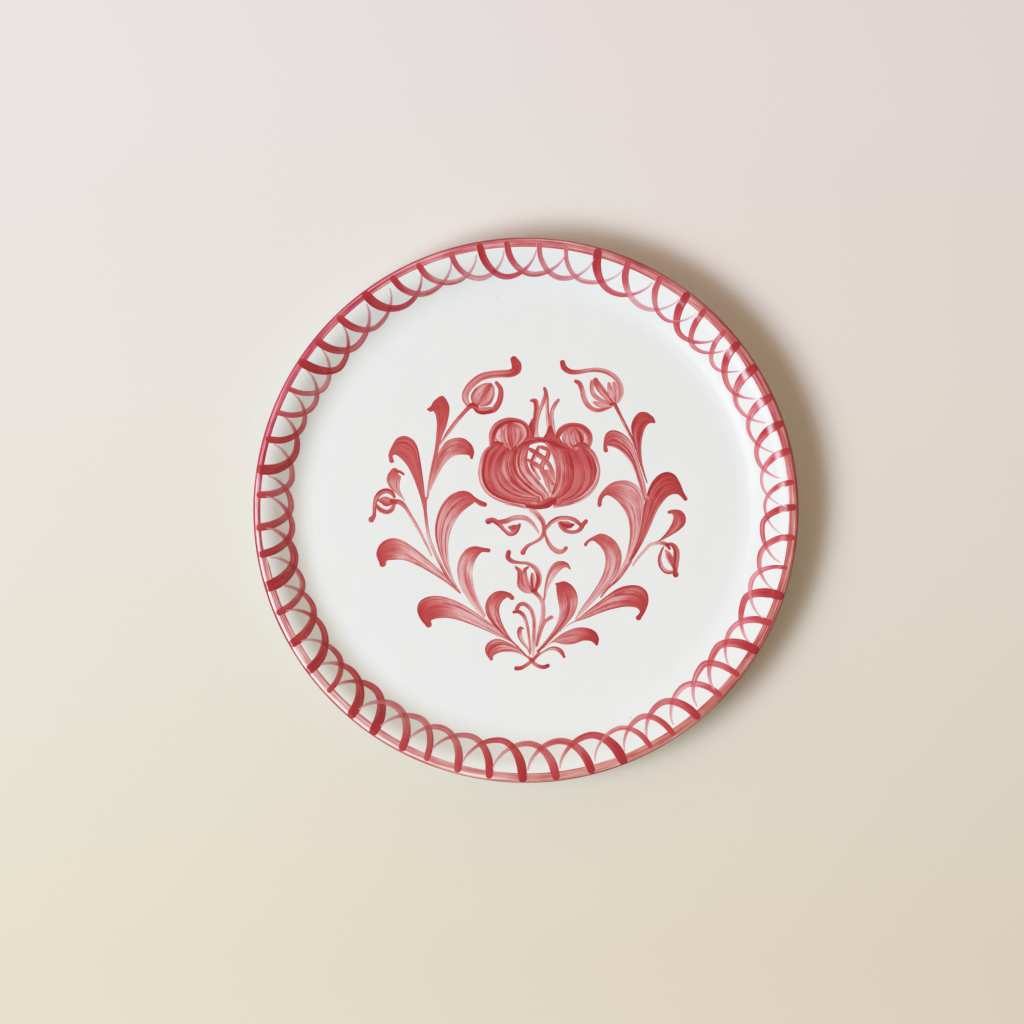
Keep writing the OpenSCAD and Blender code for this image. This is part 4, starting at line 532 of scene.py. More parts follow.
# The border's loops, clockwise: the angle where the loaded brush starts, the brush's width there, how
# full it is, the angle run to the loop's bottom, the bottom's radius, width and tone, and the angle run
# to the tail's end
LOOPS = [
    (53.2, 4.2, 0.9, 4.9, 116.9, 2.6, 0.65, 11.5), (48.2, 3.2, 0.75, 3.9, 117.1, 2.3, 0.6, 9.6),
    (42, 2.7, 0.7, 4.5, 118.4, 2, 0.5, 9), (38.1, 4.1, 0.95, 6.8, 118.7, 2.5, 0.6, 12.4),
    (31.9, 4.8, 0.95, 5.5, 117.9, 2.5, 0.45, 12.1), (24.8, 4.4, 0.85, 5.5, 118.2, 2.1, 0.35, 12),
    (18.7, 4.2, 0.95, 5.8, 118.5, 2.4, 0.55, 11.7), (12.7, 3.7, 0.85, 5.9, 118.7, 1.6, 0.4, 11.8),
    (6, 3, 0.85, 5.1, 119.4, 1.5, 0.4, 11.5), (0.6, 3.6, 0.95, 4.5, 118.4, 2.6, 0.6, 12.2),
    (-5.9, 3.4, 0.8, 5.3, 119.1, 2.6, 0.55, 11.8), (-12.5, 2.1, 0.75, 5, 118.2, 2.5, 0.4, 12),
    (-18.6, 4.8, 1, 3.8, 118.1, 3.3, 0.65, 12), (-24.9, 3.7, 0.8, 5.8, 118.6, 2.4, 0.45, 12.8),
    (-31.4, 4.8, 1, 4.6, 117.7, 3.5, 0.6, 12.2), (-37.9, 3.2, 0.8, 3.6, 117.6, 3.2, 0.45, 11),
    (-43.7, 3.1, 0.75, 5.1, 118.1, 2.9, 0.35, 11.8), (-50.3, 4, 0.9, 5.2, 117.6, 3, 0.55, 11.8),
    (-56.7, 3, 0.8, 4.6, 118.3, 2.7, 0.55, 11), (-62.3, 2.8, 0.75, 5.3, 118.4, 2.2, 0.45, 12.3),
    (-68.8, 5.1, 1, 6, 116.9, 3.2, 0.75, 13.7), (-75.9, 4.2, 0.95, 6.4, 116.6, 3.1, 0.5, 13.7),
    (-83.6, 4.3, 0.8, 6, 116.7, 2.8, 0.4, 13.7), (-90.7, 4.6, 0.95, 5.7, 115.8, 2.9, 0.7, 13.4),
    (-97.9, 3.9, 0.85, 6, 116.4, 2.8, 0.6, 13.7), (-104.8, 4, 0.75, 6.1, 116.7, 2.9, 0.45, 12.4),
    (-111.8, 3.3, 0.7, 5.1, 116.8, 3, 0.5, 12.1), (-117.5, 4.1, 0.8, 6.1, 117.6, 3.3, 0.45, 12.5),
    (-124.6, 5.1, 1, 5.8, 117, 3.4, 0.75, 12.7), (-130.5, 5, 0.95, 6.4, 118.4, 3.1, 0.7, 12.7),
    (-137.5, 2.8, 0.75, 5.1, 118.6, 2.7, 0.45, 12.3), (-143.6, 4.8, 1, 6.8, 117.5, 2.9, 0.7, 13.7),
    (-150.3, 4.6, 0.9, 5.8, 116.9, 2.8, 0.55, 12.8), (-157.5, 3.5, 0.8, 5.2, 117.3, 2.8, 0.45, 12),
    (-163.5, 5.9, 1, 5.8, 118, 3.9, 0.65, 12.6), (-170.5, 3.9, 0.9, 5.6, 117.1, 2.9, 0.6, 12.6),
    (-176.3, 3.9, 0.75, 4.8, 117.5, 3, 0.6, 11.3), (-183.3, 3.4, 0.75, 4.5, 118.1, 2.9, 0.4, 11.3),
    (-188.7, 5.1, 1, 5.8, 118.6, 3.2, 0.65, 12.4), (-195.4, 3.4, 0.85, 5.5, 119.1, 2.5, 0.6, 11.1),
    (-201.5, 2.7, 0.65, 5.3, 118.2, 2.6, 0.55, 11), (-207.1, 2.5, 0.7, 4.7, 117.9, 2.6, 0.45, 11.1),
    (-213.4, 4.5, 0.95, 4.6, 117.2, 2.9, 0.75, 11.8), (-219, 3.9, 0.85, 5.6, 117.8, 2.9, 0.6, 13.2),
    (-225.9, 3.7, 0.85, 5.3, 118.2, 2.3, 0.55, 12.5), (-233.4, 4.6, 0.95, 6.4, 118.7, 2.7, 0.7, 12.7),
    (-240.2, 3.4, 0.85, 6.1, 119.1, 2.6, 0.45, 13), (-246.4, 3.2, 0.75, 6.7, 119.5, 2.4, 0.35, 12.5),
    (-253.7, 2.8, 0.65, 5.7, 118.1, 2.5, 0.3, 11.4), (-260.1, 3.7, 0.9, 5.6, 117.1, 2.7, 0.65, 12.1),
    (-265.9, 3.2, 0.75, 5.9, 118, 2.6, 0.5, 12.9), (-272.8, 2.5, 0.55, 5.8, 117.4, 2.6, 0.3, 12.3),
    (-278.7, 2.1, 0.5, 5.5, 118.1, 2.4, 0.3, 13.2), (-285.6, 4.4, 0.9, 6.4, 117.2, 2.6, 0.65, 13.4),
    (-292.4, 3.4, 0.7, 7.1, 117.1, 2.5, 0.3, 13.5), (-300, 3.2, 0.65, 5.8, 118.1, 1.9, 0.45, 10.8),
]

LOOP_START_RADIUS = 131.6
LOOP_START_GAIN = 0.36
LOOP_TAIL_RADIUS = 129.5
TAIL_WIDTH = 0.7
TAIL_BEND = 1.25
# The brush's width at even steps of a loop: shares of the start's and the bottom's width on the way
# down, and of the bottom's width on the way up to the tail
LOOP_STEP = 22.5
DOWN_SHARES = [(1.0, 0.0), (1.0, 0.0), (0.6, 0.4), (0.2, 0.8)]
UP_SHARES = [1.0, 0.84, 0.56, 0.4]


def loop_path(start, load, bottom_run, bottom_radius, belly, tail_run):
    """Rows of x, y and width along one border loop, as in the CAD model."""
    start_radius = LOOP_START_RADIUS + LOOP_START_GAIN * load
    made = []
    for step, (of_load, of_belly) in enumerate(DOWN_SHARES):
        turn = math.radians(step * LOOP_STEP)
        run = bottom_run * (1 - math.cos(turn))
        radius = start_radius - (start_radius - bottom_radius) * math.sin(turn)
        made.append((run, radius, of_load * load + of_belly * belly))
    for step, width in enumerate([share * belly for share in UP_SHARES] + [TAIL_WIDTH]):
        turn = math.radians(step * LOOP_STEP)
        run = bottom_run + (tail_run - bottom_run) * math.sin(turn)
        drop = max(math.cos(turn), 0) ** TAIL_BEND
        made.append((run, LOOP_TAIL_RADIUS - (LOOP_TAIL_RADIUS - bottom_radius) * drop, width))
    return [rim((0, 0), radius, start - run) + (width,) for run, radius, width in made]


STROKE_STEPS = 8
TIP_STEPS = 6
ACROSS = 12
LEAST_WIDTH = 0.2
TIP_END = 0.02


def ladder(rows):
    """The two edges of a stroke, point by point, with a round tip at each end."""
    course = smooth(rows, STROKE_STEPS)
    if course.shape[1] == 4:
        left, right = course[:, :2], course[:, 2:]
    else:
        way = directions(course[:, :2])
        side = np.stack([-way[:, 1], way[:, 0]], axis=1) * np.maximum(course[:, 2:3], LEAST_WIDTH) / 2
        left, right = course[:, :2] + side, course[:, :2] - side
    forward = left[1] + right[1] - left[0] - right[0]
    across = left[0] - right[0]
    if forward[0] * across[1] - forward[1] * across[0] < 0:
        left, right = right, left
    return tipped(left, right)


def tip(left, right, sign):
    """The two edges of a half-round tip, whose rungs shorten as they move out."""
    middle, half = (left + right) / 2, (left - right) / 2
    out = sign * np.array([half[1], -half[0]])
    edges = []
    for step in range(1, TIP_STEPS + 1):
        turn = math.pi / 2 * step / TIP_STEPS
        centre, reach = middle + out * math.sin(turn), half * max(math.cos(turn), TIP_END)
        edges.append((centre + reach, centre - reach))
    return edges


def tipped(left, right):
    """The edges of a stroke with a tip at each end."""
    start, end = tip(left[0], right[0], -1)[::-1], tip(left[-1], right[-1], 1)
    all_left = np.array([p for p, _ in start] + list(left) + [p for p, _ in end])
    all_right = np.array([q for _, q in start] + list(right) + [q for _, q in end])
    return all_left, all_right


class Stroke:
    """One brush stroke: its edges, how far along each rung is, and how full the brush was."""

    def __init__(self, rows, tones, seed, height):
        self.left, self.right = ladder(rows)
        middle = (self.left + self.right) / 2
        steps = np.linalg.norm(np.diff(middle, axis=0), axis=1)
        self.along = np.concatenate([[0], np.cumsum(steps)])
        self.width = np.linalg.norm(self.left - self.right, axis=1).max()
        self.share = self.along / self.along[-1]
        turns = directions(middle[TIP_STEPS:-TIP_STEPS])
        bend = turns[0, 0] * turns[-1, 1] - turns[0, 1] * turns[-1, 0]
        self.outside = -1.0 if bend < 0 else 1.0
        self.tones = tones
        self.seed = seed
        self.height = height
        self.outline = np.vstack([self.left, self.right[::-1]])

    def points(self):
        """The top's points in plan, rung by rung, and each point's place across, from -1 to 1."""
        across = np.sin(np.linspace(-math.pi / 2, math.pi / 2, ACROSS + 1))
        middle = (self.left + self.right) / 2
        half = (self.right - self.left) / 2
        plan = middle[:, None, :] + half[:, None, :] * across[None, :, None]
        return plan, np.broadcast_to(across, plan.shape[:2])


def covered(plan, outline):
    """Which points of a grid lie inside an outline."""
    x, y = plan[..., 0], plan[..., 1]
    inside = np.zeros(x.shape, bool)
    low, high = outline.min(axis=0), outline.max(axis=0)
    near = (x > low[0]) & (x < high[0]) & (y > low[1]) & (y < high[1])
    if not near.any():
        return inside
    px, py = x[near], y[near]
    hit = np.zeros(px.shape, bool)
    for (ax, ay), (bx, by) in zip(outline, np.roll(outline, -1, axis=0)):
        if ay != by:
            hit ^= ((ay > py) != (by > py)) & (px < (bx - ax) * (py - ay) / (by - ay) + ax)
    inside[near] = hit
    return inside


def ribbon_faces(rungs, columns):
    """The faces of a closed ribbon: top, long sides, underside and the two ends."""
    base = rungs * columns
    faces = []
    for i in range(rungs - 1):
        for j in range(columns - 1):
            a = i * columns + j
            faces.append((a, a + columns, a + columns + 1, a + 1))
        left, right = base + 2 * i, base + 2 * i + 1
        faces.append((i * columns, left, left + 2, (i + 1) * columns))
        faces.append(((i + 1) * columns - 1, (i + 2) * columns - 1, right + 2, right))
        faces.append((left, right, right + 2, left + 2))
    faces.append((*range(columns), base + 1, base))
    last = base - columns
    faces.append((*range(base - 1, last - 1, -1), base + 2 * rungs - 2, base + 2 * rungs - 1))
    return faces


def brush_marks(stroke, across, depth):
    """What the paint material reads at each point of a ribbon, the underside's points last."""
    along = np.broadcast_to(stroke.along[:, None], across.shape)
    share = np.broadcast_to(stroke.share[:, None], across.shape)
    brush = np.stack([along, across * stroke.width / 2, np.full(across.shape, stroke.seed)], axis=-1)
    place = np.stack([share, depth, across * stroke.outside], axis=-1)
    marks = {
        key: np.vstack([grid.reshape(-1, 3), grid[:, [0, -1]].reshape(-1, 3)])
        for key, grid in (("brush", brush), ("place", place))
    }
    marks["load"] = np.tile(stroke.tones, (len(marks["brush"]), 1))
    return marks


# A stroke's edges slope up over a share of its half width, from a share of its height, and its
# underside is sunk a little into the glaze
EDGE_SHARE = 0.15
EDGE_HEIGHT = 0.25
SINK = 0.02


def ribbon(stroke, others, surface):
    """A closed low-relief mesh of one stroke, and what the paint material reads at each point."""
    plan, across = stroke.points()
    depth = np.zeros(across.shape)
    for other in others:
        depth += covered(plan, other.outline)
    shoulder = np.clip((1 - np.abs(across)) / EDGE_SHARE, 0, 1)
    lift = stroke.height * (EDGE_HEIGHT + (1 - EDGE_HEIGHT) * shoulder)
    lift[0] = lift[-1] = stroke.height * EDGE_HEIGHT
    top = surface(plan, lift)
    floor = surface(plan[:, [0, -1]], np.full((len(plan), 2), -SINK))
    points = [tuple(p) for p in np.vstack([top.reshape(-1, 3), floor.reshape(-1, 3)])]
    return points, ribbon_faces(*across.shape), brush_marks(stroke, across, depth)


def on_well(plan, lift):
    """Points lifted off the flat well."""
    return np.concatenate([plan, (WELL_HEIGHT + lift)[..., None]], axis=-1)


# Radius on the lip where the brush lifts off
PAINT_REACH = 135.5


def on_face(plan, lift):
    """Points lifted off the glaze on the wall and the lip."""
    clay, _ = face_section()
    out = directions(clay)
    glaze = moved_out(clay, GLAZE)
    top = int(np.argmax(glaze[:, 0]))
    distance = np.linalg.norm(plan, axis=-1)
    radius = np.minimum(distance, PAINT_REACH)
    height, lean, rise = (
        np.interp(radius, glaze[:top, 0], values[:top]) for values in (glaze[:, 1], -out[:, 1], out[:, 0])
    )
    moved = plan / distance[..., None] * (radius + lift * lean)[..., None]
    return np.concatenate([moved, (height + lift * rise)[..., None]], axis=-1)


def painted_piece(name, strokes, others, surface, material):
    """One painted element, as one piece made of its strokes."""
    made = []
    for stroke in strokes:
        made.append(ribbon(stroke, [other for other in others if other is not stroke], surface))
    points, faces = join_parts([(points, faces) for points, faces, _ in made])
    attributes = {key: np.vstack([marks[key] for *_, marks in made]) for key in ("brush", "place", "load")}
    new_piece(f"{name}_paint", points, faces, name, material, attributes)


LAYER_START = 0.03
LAYER_STEP = 0.001
SEED_STEP = 7.3


def paint_motif(material):
    """The pomegranate spray on the well, each stroke a little above the ones before it."""
    groups, count = {}, 0
    for name, rows in STROKES.items():
        groups[name] = []
        for *tones, path in rows:
            height = LAYER_START + LAYER_STEP * count
            groups[name].append(Stroke(path, tones, SEED_STEP * count, height))
            count += 1
    everything = [stroke for strokes in groups.values() for stroke in strokes]
    for name, strokes in groups.items():
        painted_piece(name, strokes, everything, on_well, material)


BORDER_LAYER_START = 0.09
BORDER_LAYER_STEP = 0.012
BORDER_LAYERS = 4
# Shares of a loop's tone at its start and at its tail's end
LOOP_START = 1.06
LOOP_END = 0.18


def paint_border(material):
    """The 56 loops on the wall, which start on the band."""
    strokes = []
    for i, (start, load, tone, bottom_run, bottom_radius, belly, bottom_tone, tail_run) in enumerate(LOOPS):
        path = loop_path(start, load, bottom_run, bottom_radius, belly, tail_run)
        height = BORDER_LAYER_START + BORDER_LAYER_STEP * (i % BORDER_LAYERS)
        tones = (tone * LOOP_START, bottom_tone, tone * LOOP_END)
        strokes.append(Stroke(path, tones, SEED_STEP * i, height))
    painted_piece("looped_border", strokes, strokes, on_face, material)


# Round the band: the angle, the radius where the paint starts, how full the brush was, how strong the
# painted highlight on the lip's top is, and how warm the red is
# The red's warmth varies round the band; at about 12 to 45 degrees its cooler red also stands in for colder
# light
BAND_TURN = [
    (-270, 131.1, 0.5, 0.0, 0.4), (-250, 131.8, 0.56, 0.0, 0.2), (-215, 132.1, 0.62, 0.0, 0.0),
    (-195, 132.3, 0.66, 0.25, 0.0), (-172, 132.2, 0.6, 0.5, 0.1), (-168, 130.6, 0.42, 0.8, 0.3),
    (-150, 130.5, 0.38, 0.8, 0.4), (-126, 130.8, 0.38, 0.8, 0.5), (-110, 131.0, 0.36, 0.3, 0.7),
    (-60, 131.0, 0.4, 0.0, 1.0), (-10, 131.1, 0.5, 0.0, 0.7), (12, 130.9, 0.53, 0.0, 0.6),
    (28, 130.5, 0.55, 0.1, 0.6), (45, 130.9, 0.55, 0.0, 0.6), (90, 131.1, 0.5, 0.0, 0.4),
]
BAND_RINGS = 22
BAND_LIFT = 0.06
BAND_SWELL = 1.5
BAND_UNDER = -24.0


def paint_band(material):
    """The band from its uneven inner edge, over the lip, to under the rim."""
    clay, lip = face_section()
    glaze = moved_out(clay, GLAZE)
    coat = moved_out(clay, GLAZE + BAND_LIFT)
    lengths = np.concatenate([[0], np.cumsum(np.linalg.norm(np.diff(glaze, axis=0), axis=1))])
    top = int(np.argmax(glaze[:, 0]))
    facing = np.degrees(np.arctan2(glaze[top:, 1] - lip[1], glaze[top:, 0] - lip[0]))
    end = lengths[top + int(np.argmax(facing <= BAND_UNDER))]
    angles, radii, *loads = zip(*BAND_TURN)
    points, brush, place, load = [], [], [], []
    for turn in range(TURNS):
        angle = 90 - 360 * turn / TURNS
        inner = np.interp(np.interp(angle, angles, radii), glaze[:top, 0], lengths[:top])
        loaded = [np.interp(angle, angles, values) for values in loads]
        for ring in range(BAND_RINGS + 1):
            share = ring / BAND_RINGS
            at = inner + (end - inner) * share
            lift = min(1.0, ring / BAND_SWELL)
            r, z = (
                np.interp(at, lengths, glaze[:, axis] * (1 - lift) + coat[:, axis] * lift) for axis in (0, 1)
            )
            points.append((*rim((0, 0), r, angle), z))
            brush.append((*rim((0, 0), PLATE_RADIUS, angle), at))
            place.append((share, 0, at - end))
            load.append(loaded)
    width = BAND_RINGS + 1
    faces = []
    for turn in range(TURNS):
        a, b = turn * width, (turn + 1) % TURNS * width
        faces += [(a + i, a + i + 1, b + i + 1, b + i) for i in range(BAND_RINGS)]
    attributes = {"brush": brush, "place": place, "load": load}
    new_piece("lip_band_paint", points, faces, "lip_band", material, attributes)


# ---------------------------------------------------------------- materials


def srgb(red, green, blue):
    """A colour from 0 to 255 steps, as the linear colour that a shader takes."""
    linear = [c / 255 / 12.92 if c <= 10 else ((c / 255 + 0.055) / 1.055) ** 2.4 for c in (red, green, blue)]
    return (*linear, 1.0)


def stops(*rows):
    """The places and colours of a ramp."""
    return [(place, srgb(*colour)) for place, *colour in rows]


# The middle of a noise's range, where most of its values fall, for streaks and for everything else
SWING = (0.38, 0.62)
MIDDLE = (0.3, 0.7)


class Graph:
    """A material's nodes, made by short calls."""

    def __init__(self, name):
        self.material = bpy.data.materials.new(name)
        self.material.use_nodes = True
        self.nodes = self.material.node_tree.nodes
        self.links = self.material.node_tree.links
        self.shader = self.nodes["Principled BSDF"]

    def add(self, kind, inputs=None, **settings):
        """A node, with a socket or a plain value on each of its inputs."""
        node = self.nodes.new(kind)
        for key, value in settings.items():
            setattr(node, key, value)
        for key, value in (inputs or {}).items():
            if isinstance(value, bpy.types.NodeSocket):
                self.links.new(value, node.inputs[key])
            else:
                node.inputs[key].default_value = value
        return node

    def place(self):
        """Where a point is on its object."""
        return self.add("ShaderNodeTexCoord").outputs["Object"]

    def attribute(self, name):
        return self.add("ShaderNodeAttribute", attribute_name=name).outputs["Vector"]

    def parts(self, vector):
        return self.add("ShaderNodeSeparateXYZ", {0: vector}).outputs

    def math(self, operation, a, b=0.0, clamp=False):
        return self.add("ShaderNodeMath", {0: a, 1: b}, operation=operation, use_clamp=clamp).outputs[0]

    def plus(self, base, value, share):
        """A base with a share of another value added."""
        return self.math("ADD", base, self.math("MULTIPLY", value, share))

    def total(self, first, *terms):
        """The sum of terms, each a socket times a number."""
        added = self.math("MULTIPLY", *first)
        for socket, gain in terms:
            added = self.plus(added, socket, gain)
        return added

    def noise(self, vector, scale, detail=2.0, roughness=0.5):
        inputs = {"Vector": vector, "Scale": scale, "Detail": detail, "Roughness": roughness}
        return self.add("ShaderNodeTexNoise", inputs).outputs["Fac"]

    def span(self, value, from_low, from_high, to_low, to_high, smoothed=False):
        """A value moved from one range to another, and held at its ends."""
        inputs = {"Value": value, 1: from_low, 2: from_high, 3: to_low, 4: to_high}
        kind = "SMOOTHSTEP" if smoothed else "LINEAR"
        return self.add("ShaderNodeMapRange", inputs, interpolation_type=kind).outputs["Result"]

    def swing(self, vector, scales, detail=1.0):
        """A noise from about -1 to 1, drawn out along the brush's way."""
        drawn = self.add("ShaderNodeVectorMath", {0: vector, 1: scales}, operation="MULTIPLY")
        return self.span(self.noise(drawn.outputs["Vector"], 1.0, detail), *SWING, -1.0, 1.0)

    def ramp(self, value, colours):
        node = self.add("ShaderNodeValToRGB", {"Fac": value})
        bands = node.color_ramp.elements
        while len(bands) < len(colours):
            bands.new(0.5)
        for band, (place, colour) in zip(bands, colours):
            band.position = place
            band.color = colour
        return node.outputs["Color"]

    def blend(self, factor, first, second):
        return self.add("ShaderNodeMix", {0: factor, 6: first, 7: second}, data_type="RGBA").outputs[2]

    def bump(self, height, distance):
        return self.add("ShaderNodeBump", {"Height": height, "Distance": distance}).outputs["Normal"]

    def finish(self, colour, roughness, normal, ior):
        for key, socket in (("Base Color", colour), ("Roughness", roughness), ("Normal", normal)):
            self.links.new(socket, self.shader.inputs[key])
        self.shader.inputs["IOR"].default_value = ior
        return self.material


GLAZE_IOR = 1.5
GLAZE_ROUGHNESS = (0.1, 0.15)
GLAZE_RELIEF = 0.0006
WAVE_SCALE = 38.0
RIPPLE_SCALE = 260.0
RIPPLE_SHARE = 0.06
SMEAR_SCALE = 120.0


def glazed(graph, place, colour):
    """The glossy finish that the glaze has all over, paint and all, with its soft waves."""
    roughness = graph.span(graph.noise(place, SMEAR_SCALE, detail=3.0), *MIDDLE, *GLAZE_ROUGHNESS)
    waves, ripples = graph.noise(place, WAVE_SCALE), graph.noise(place, RIPPLE_SCALE)
    relief = graph.bump(graph.plus(waves, ripples, RIPPLE_SHARE), GLAZE_RELIEF)
    return graph.finish(colour, roughness, relief, GLAZE_IOR)


GLAZE_STOPS = stops((0.3, 231, 232, 231), (0.7, 234, 234, 232))
GLAZE_CLOUD_SCALE = 22.0
# Specks: how close their cells lie, which share of cells stays clean, a speck's edge and its strength
SPECK_SCALE = 75.0
SPECK_CLEAN = 0.9
SPECK_EDGE = (0.02, 0.05)
SPECK_STRENGTH = 0.35
SPECK_GREY = srgb(120, 116, 118)


def glaze_material():
    """The white glaze, a little cloudy, with a few fine grey specks."""
    graph = Graph("tin glaze")
    place = graph.place()
    white = graph.ramp(graph.noise(place, GLAZE_CLOUD_SCALE, detail=4.0), GLAZE_STOPS)
    cells = graph.add("ShaderNodeTexVoronoi", {"Vector": place, "Scale": SPECK_SCALE})
    draw = graph.add("ShaderNodeSeparateColor", {0: cells.outputs["Color"]}).outputs[0]
    chosen = graph.math("GREATER_THAN", draw, SPECK_CLEAN)
    near = graph.span(cells.outputs["Distance"], *SPECK_EDGE, 1.0, 0.0, smoothed=True)
    speck = graph.math("MULTIPLY", graph.math("MULTIPLY", chosen, near), SPECK_STRENGTH)
    return glazed(graph, place, graph.blend(speck, white, SPECK_GREY))


PAINT_STOPS = stops(
    (0.0, 230, 212, 212), (0.2, 218, 168, 168), (0.42, 208, 127, 128),
    (0.62, 198, 93, 95), (0.8, 187, 66, 70), (1.0, 168, 44, 50),
)
# On the wall the same red is a little colder: a copy tinted to paint in the cooler light on the wall
COLD_LIT_WALL_STOPS = stops(
    (0.0, 230, 212, 214), (0.2, 218, 166, 172), (0.42, 207, 125, 133),
    (0.62, 197, 90, 99), (0.8, 187, 64, 72), (1.0, 168, 43, 52),
)
# The brush's hairs: noise scales along the brush, across it and from stroke to stroke, and strengths
BROAD_HAIRS = (0.02, 0.42, 1.0)
MIDDLING_HAIRS = (0.02, 1.1, 1.0)
FINE_HAIRS = (0.04, 2.4, 1.0)
PUDDLES = (0.18, 0.3, 1.0)
HAIR_GAINS = (0.45, 0.46, 0.3, 0.2)
PALEST_STREAK = -0.5
# Where along a stroke the start's tone runs out and the end's comes in, and how far hairs shift that
START_SPENT = (0.08, 0.36)
END_NEARS = (0.62, 1.0)
RAGGED = (0.07, 0.05)
# How strong the streaks are on the loaded start, and from thin paint to thick
LOADED_STREAKS = 0.35
THIN_PAINT = (0.1, 0.45, 0.3, 1.0)
THICK_PAINT = (0.55, 0.8, 1.0, 0.6)
# Paint pools at a stroke's two edges, and adds up to this many strokes deep
POOLED_EDGE = (0.9, 1.0, 0.0, 0.24)
MOST_LAYERS = 2.0


def stroke_tone(graph, share, hairs, load):
    """The tone along a stroke, from its start to its end, and how spent the brush is."""
    start, middle, end = graph.parts(load)
    reach = graph.total((share, 1.0), *zip(hairs, RAGGED))
    spent = graph.span(reach, *START_SPENT, 0.0, 1.0, smoothed=True)
    closing = graph.span(reach, *END_NEARS, 0.0, 1.0, smoothed=True)
    tone = graph.plus(start, graph.math("SUBTRACT", middle, start), spent)
    return graph.plus(tone, graph.math("SUBTRACT", end, middle), closing), spent


def paint_density(graph, streak, under, outside):
    """How thick the paint lies: the brush's load, its streaks, what lies under it, and its edges."""
    brush, load, place = (graph.attribute(name) for name in ("brush", "load", "place"))
    share, depth, side = graph.parts(place)
    broad, middling, fine = (graph.swing(brush, hairs) for hairs in (BROAD_HAIRS, MIDDLING_HAIRS, FINE_HAIRS))
    cloud = graph.swing(brush, PUDDLES, detail=2.0)
    tone, spent = stroke_tone(graph, share, (broad, middling), load)
    streaks = graph.total(*zip((broad, middling, fine, cloud), HAIR_GAINS))
    streaks = graph.math("MAXIMUM", streaks, PALEST_STREAK)
    strength = graph.span(spent, 0.0, 1.0, LOADED_STREAKS * streak, streak)
    thin, thick = graph.span(tone, *THIN_PAINT), graph.span(tone, *THICK_PAINT)
    strength = graph.math("MULTIPLY", strength, graph.math("MULTIPLY", thin, thick))
    density = graph.plus(tone, streaks, strength)
    pooled = graph.span(graph.math("ABSOLUTE", side), *POOLED_EDGE, smoothed=True)
    layers = graph.math("MINIMUM", depth, MOST_LAYERS)
    more = graph.total((layers, under), (side, outside), (pooled, 1.0))
    return graph.math("ADD", density, more, clamp=True)


def brush_material(name, colours, streak, under, outside):
    """A red whose streaks, lower layers and outer edges are this strong."""
    graph = Graph(name)
    colour = graph.ramp(paint_density(graph, streak, under, outside), colours)
    return glazed(graph, graph.place(), colour)


CRIMSON_STOPS = stops(
    (0.0, 238, 214, 212), (0.25, 222, 156, 162), (0.5, 207, 106, 122), (0.75, 190, 62, 90), (1.0, 158, 28, 58)
)
WARM_STOPS = stops(
    (0.0, 236, 212, 204), (0.25, 214, 160, 150), (0.5, 200, 126, 117), (0.75, 184, 84, 79), (1.0, 154, 44, 50)
)
BAND_BROAD = (0.02, 0.02, 0.8)
BAND_FINE = (0.03, 0.03, 2.4)
BAND_CLOUD = (0.08, 0.08, 0.3)
BAND_GAINS = (0.17, 0.2, 0.1)
# Darker at the inner edge and under the rim; the middle and edge of the painted highlight, from the rim
BAND_INNER = (0.0, 0.07, 0.25, 0.0)
BAND_OUTER = (-3.0, -2.4, 0.0, 0.5)
HIGHLIGHT_PLACE = 3.75
HIGHLIGHT_EDGE = (0.4, 0.75, -1.0, 0.0)


def band_material():
    """The band's paint, from crimson to warm, streaked along the lip, with a painted highlight in places."""
    graph = Graph("band paint")
    brush, load, place = (graph.attribute(name) for name in ("brush", "load", "place"))
    tone, painted_highlight, warm = graph.parts(load)
    share, _, before = graph.parts(place)
    broad = graph.swing(brush, BAND_BROAD)
    fine, cloud = (graph.swing(brush, scales, detail=2.0) for scales in (BAND_FINE, BAND_CLOUD))
    inner = graph.span(share, *BAND_INNER, smoothed=True)
    outer = graph.span(before, *BAND_OUTER, smoothed=True)
    # A pale painted highlight on the lip's top, where the light's reflection falls
    off_highlight = graph.math("ABSOLUTE", graph.math("ADD", before, HIGHLIGHT_PLACE))
    near = graph.span(off_highlight, *HIGHLIGHT_EDGE, smoothed=True)
    density = graph.total((tone, 1.0), *zip((broad, fine, cloud), BAND_GAINS), (inner, 1.0), (outer, 1.0))
    density = graph.plus(density, near, painted_highlight)
    # Between crimson and warm as the band's paint changes, and cooler at the right for the colder light there
    colour = graph.blend(warm, graph.ramp(density, CRIMSON_STOPS), graph.ramp(density, WARM_STOPS))
    return glazed(graph, graph.place(), colour)


CLAY_STOPS = stops((0.3, 176, 128, 96), (0.5, 201, 155, 120), (0.75, 222, 184, 150))
CLAY_GRAIN_SCALE = 900.0
CLAY_CLOUD_SCALE = 60.0
CLAY_GRAIN_SHARE = 0.6
CLAY_ROUGHNESS = (0.75, 0.95)
CLAY_RELIEF = 0.0004
CLAY_IOR = 1.45


def clay_material():
    """The bare clay under the foot ring: matt and grainy."""
    graph = Graph("bare clay")
    place = graph.place()
    grain = graph.noise(place, CLAY_GRAIN_SCALE, detail=6.0, roughness=0.7)
    cloud = graph.noise(place, CLAY_CLOUD_SCALE, detail=3.0)
    mixed = graph.total((grain, CLAY_GRAIN_SHARE), (cloud, 1 - CLAY_GRAIN_SHARE))
    roughness = graph.span(grain, *MIDDLE, *CLAY_ROUGHNESS)
    return graph.finish(graph.ramp(mixed, CLAY_STOPS), roughness, graph.bump(grain, CLAY_RELIEF), CLAY_IOR)


# ---------------------------------------------------------------- building the plate


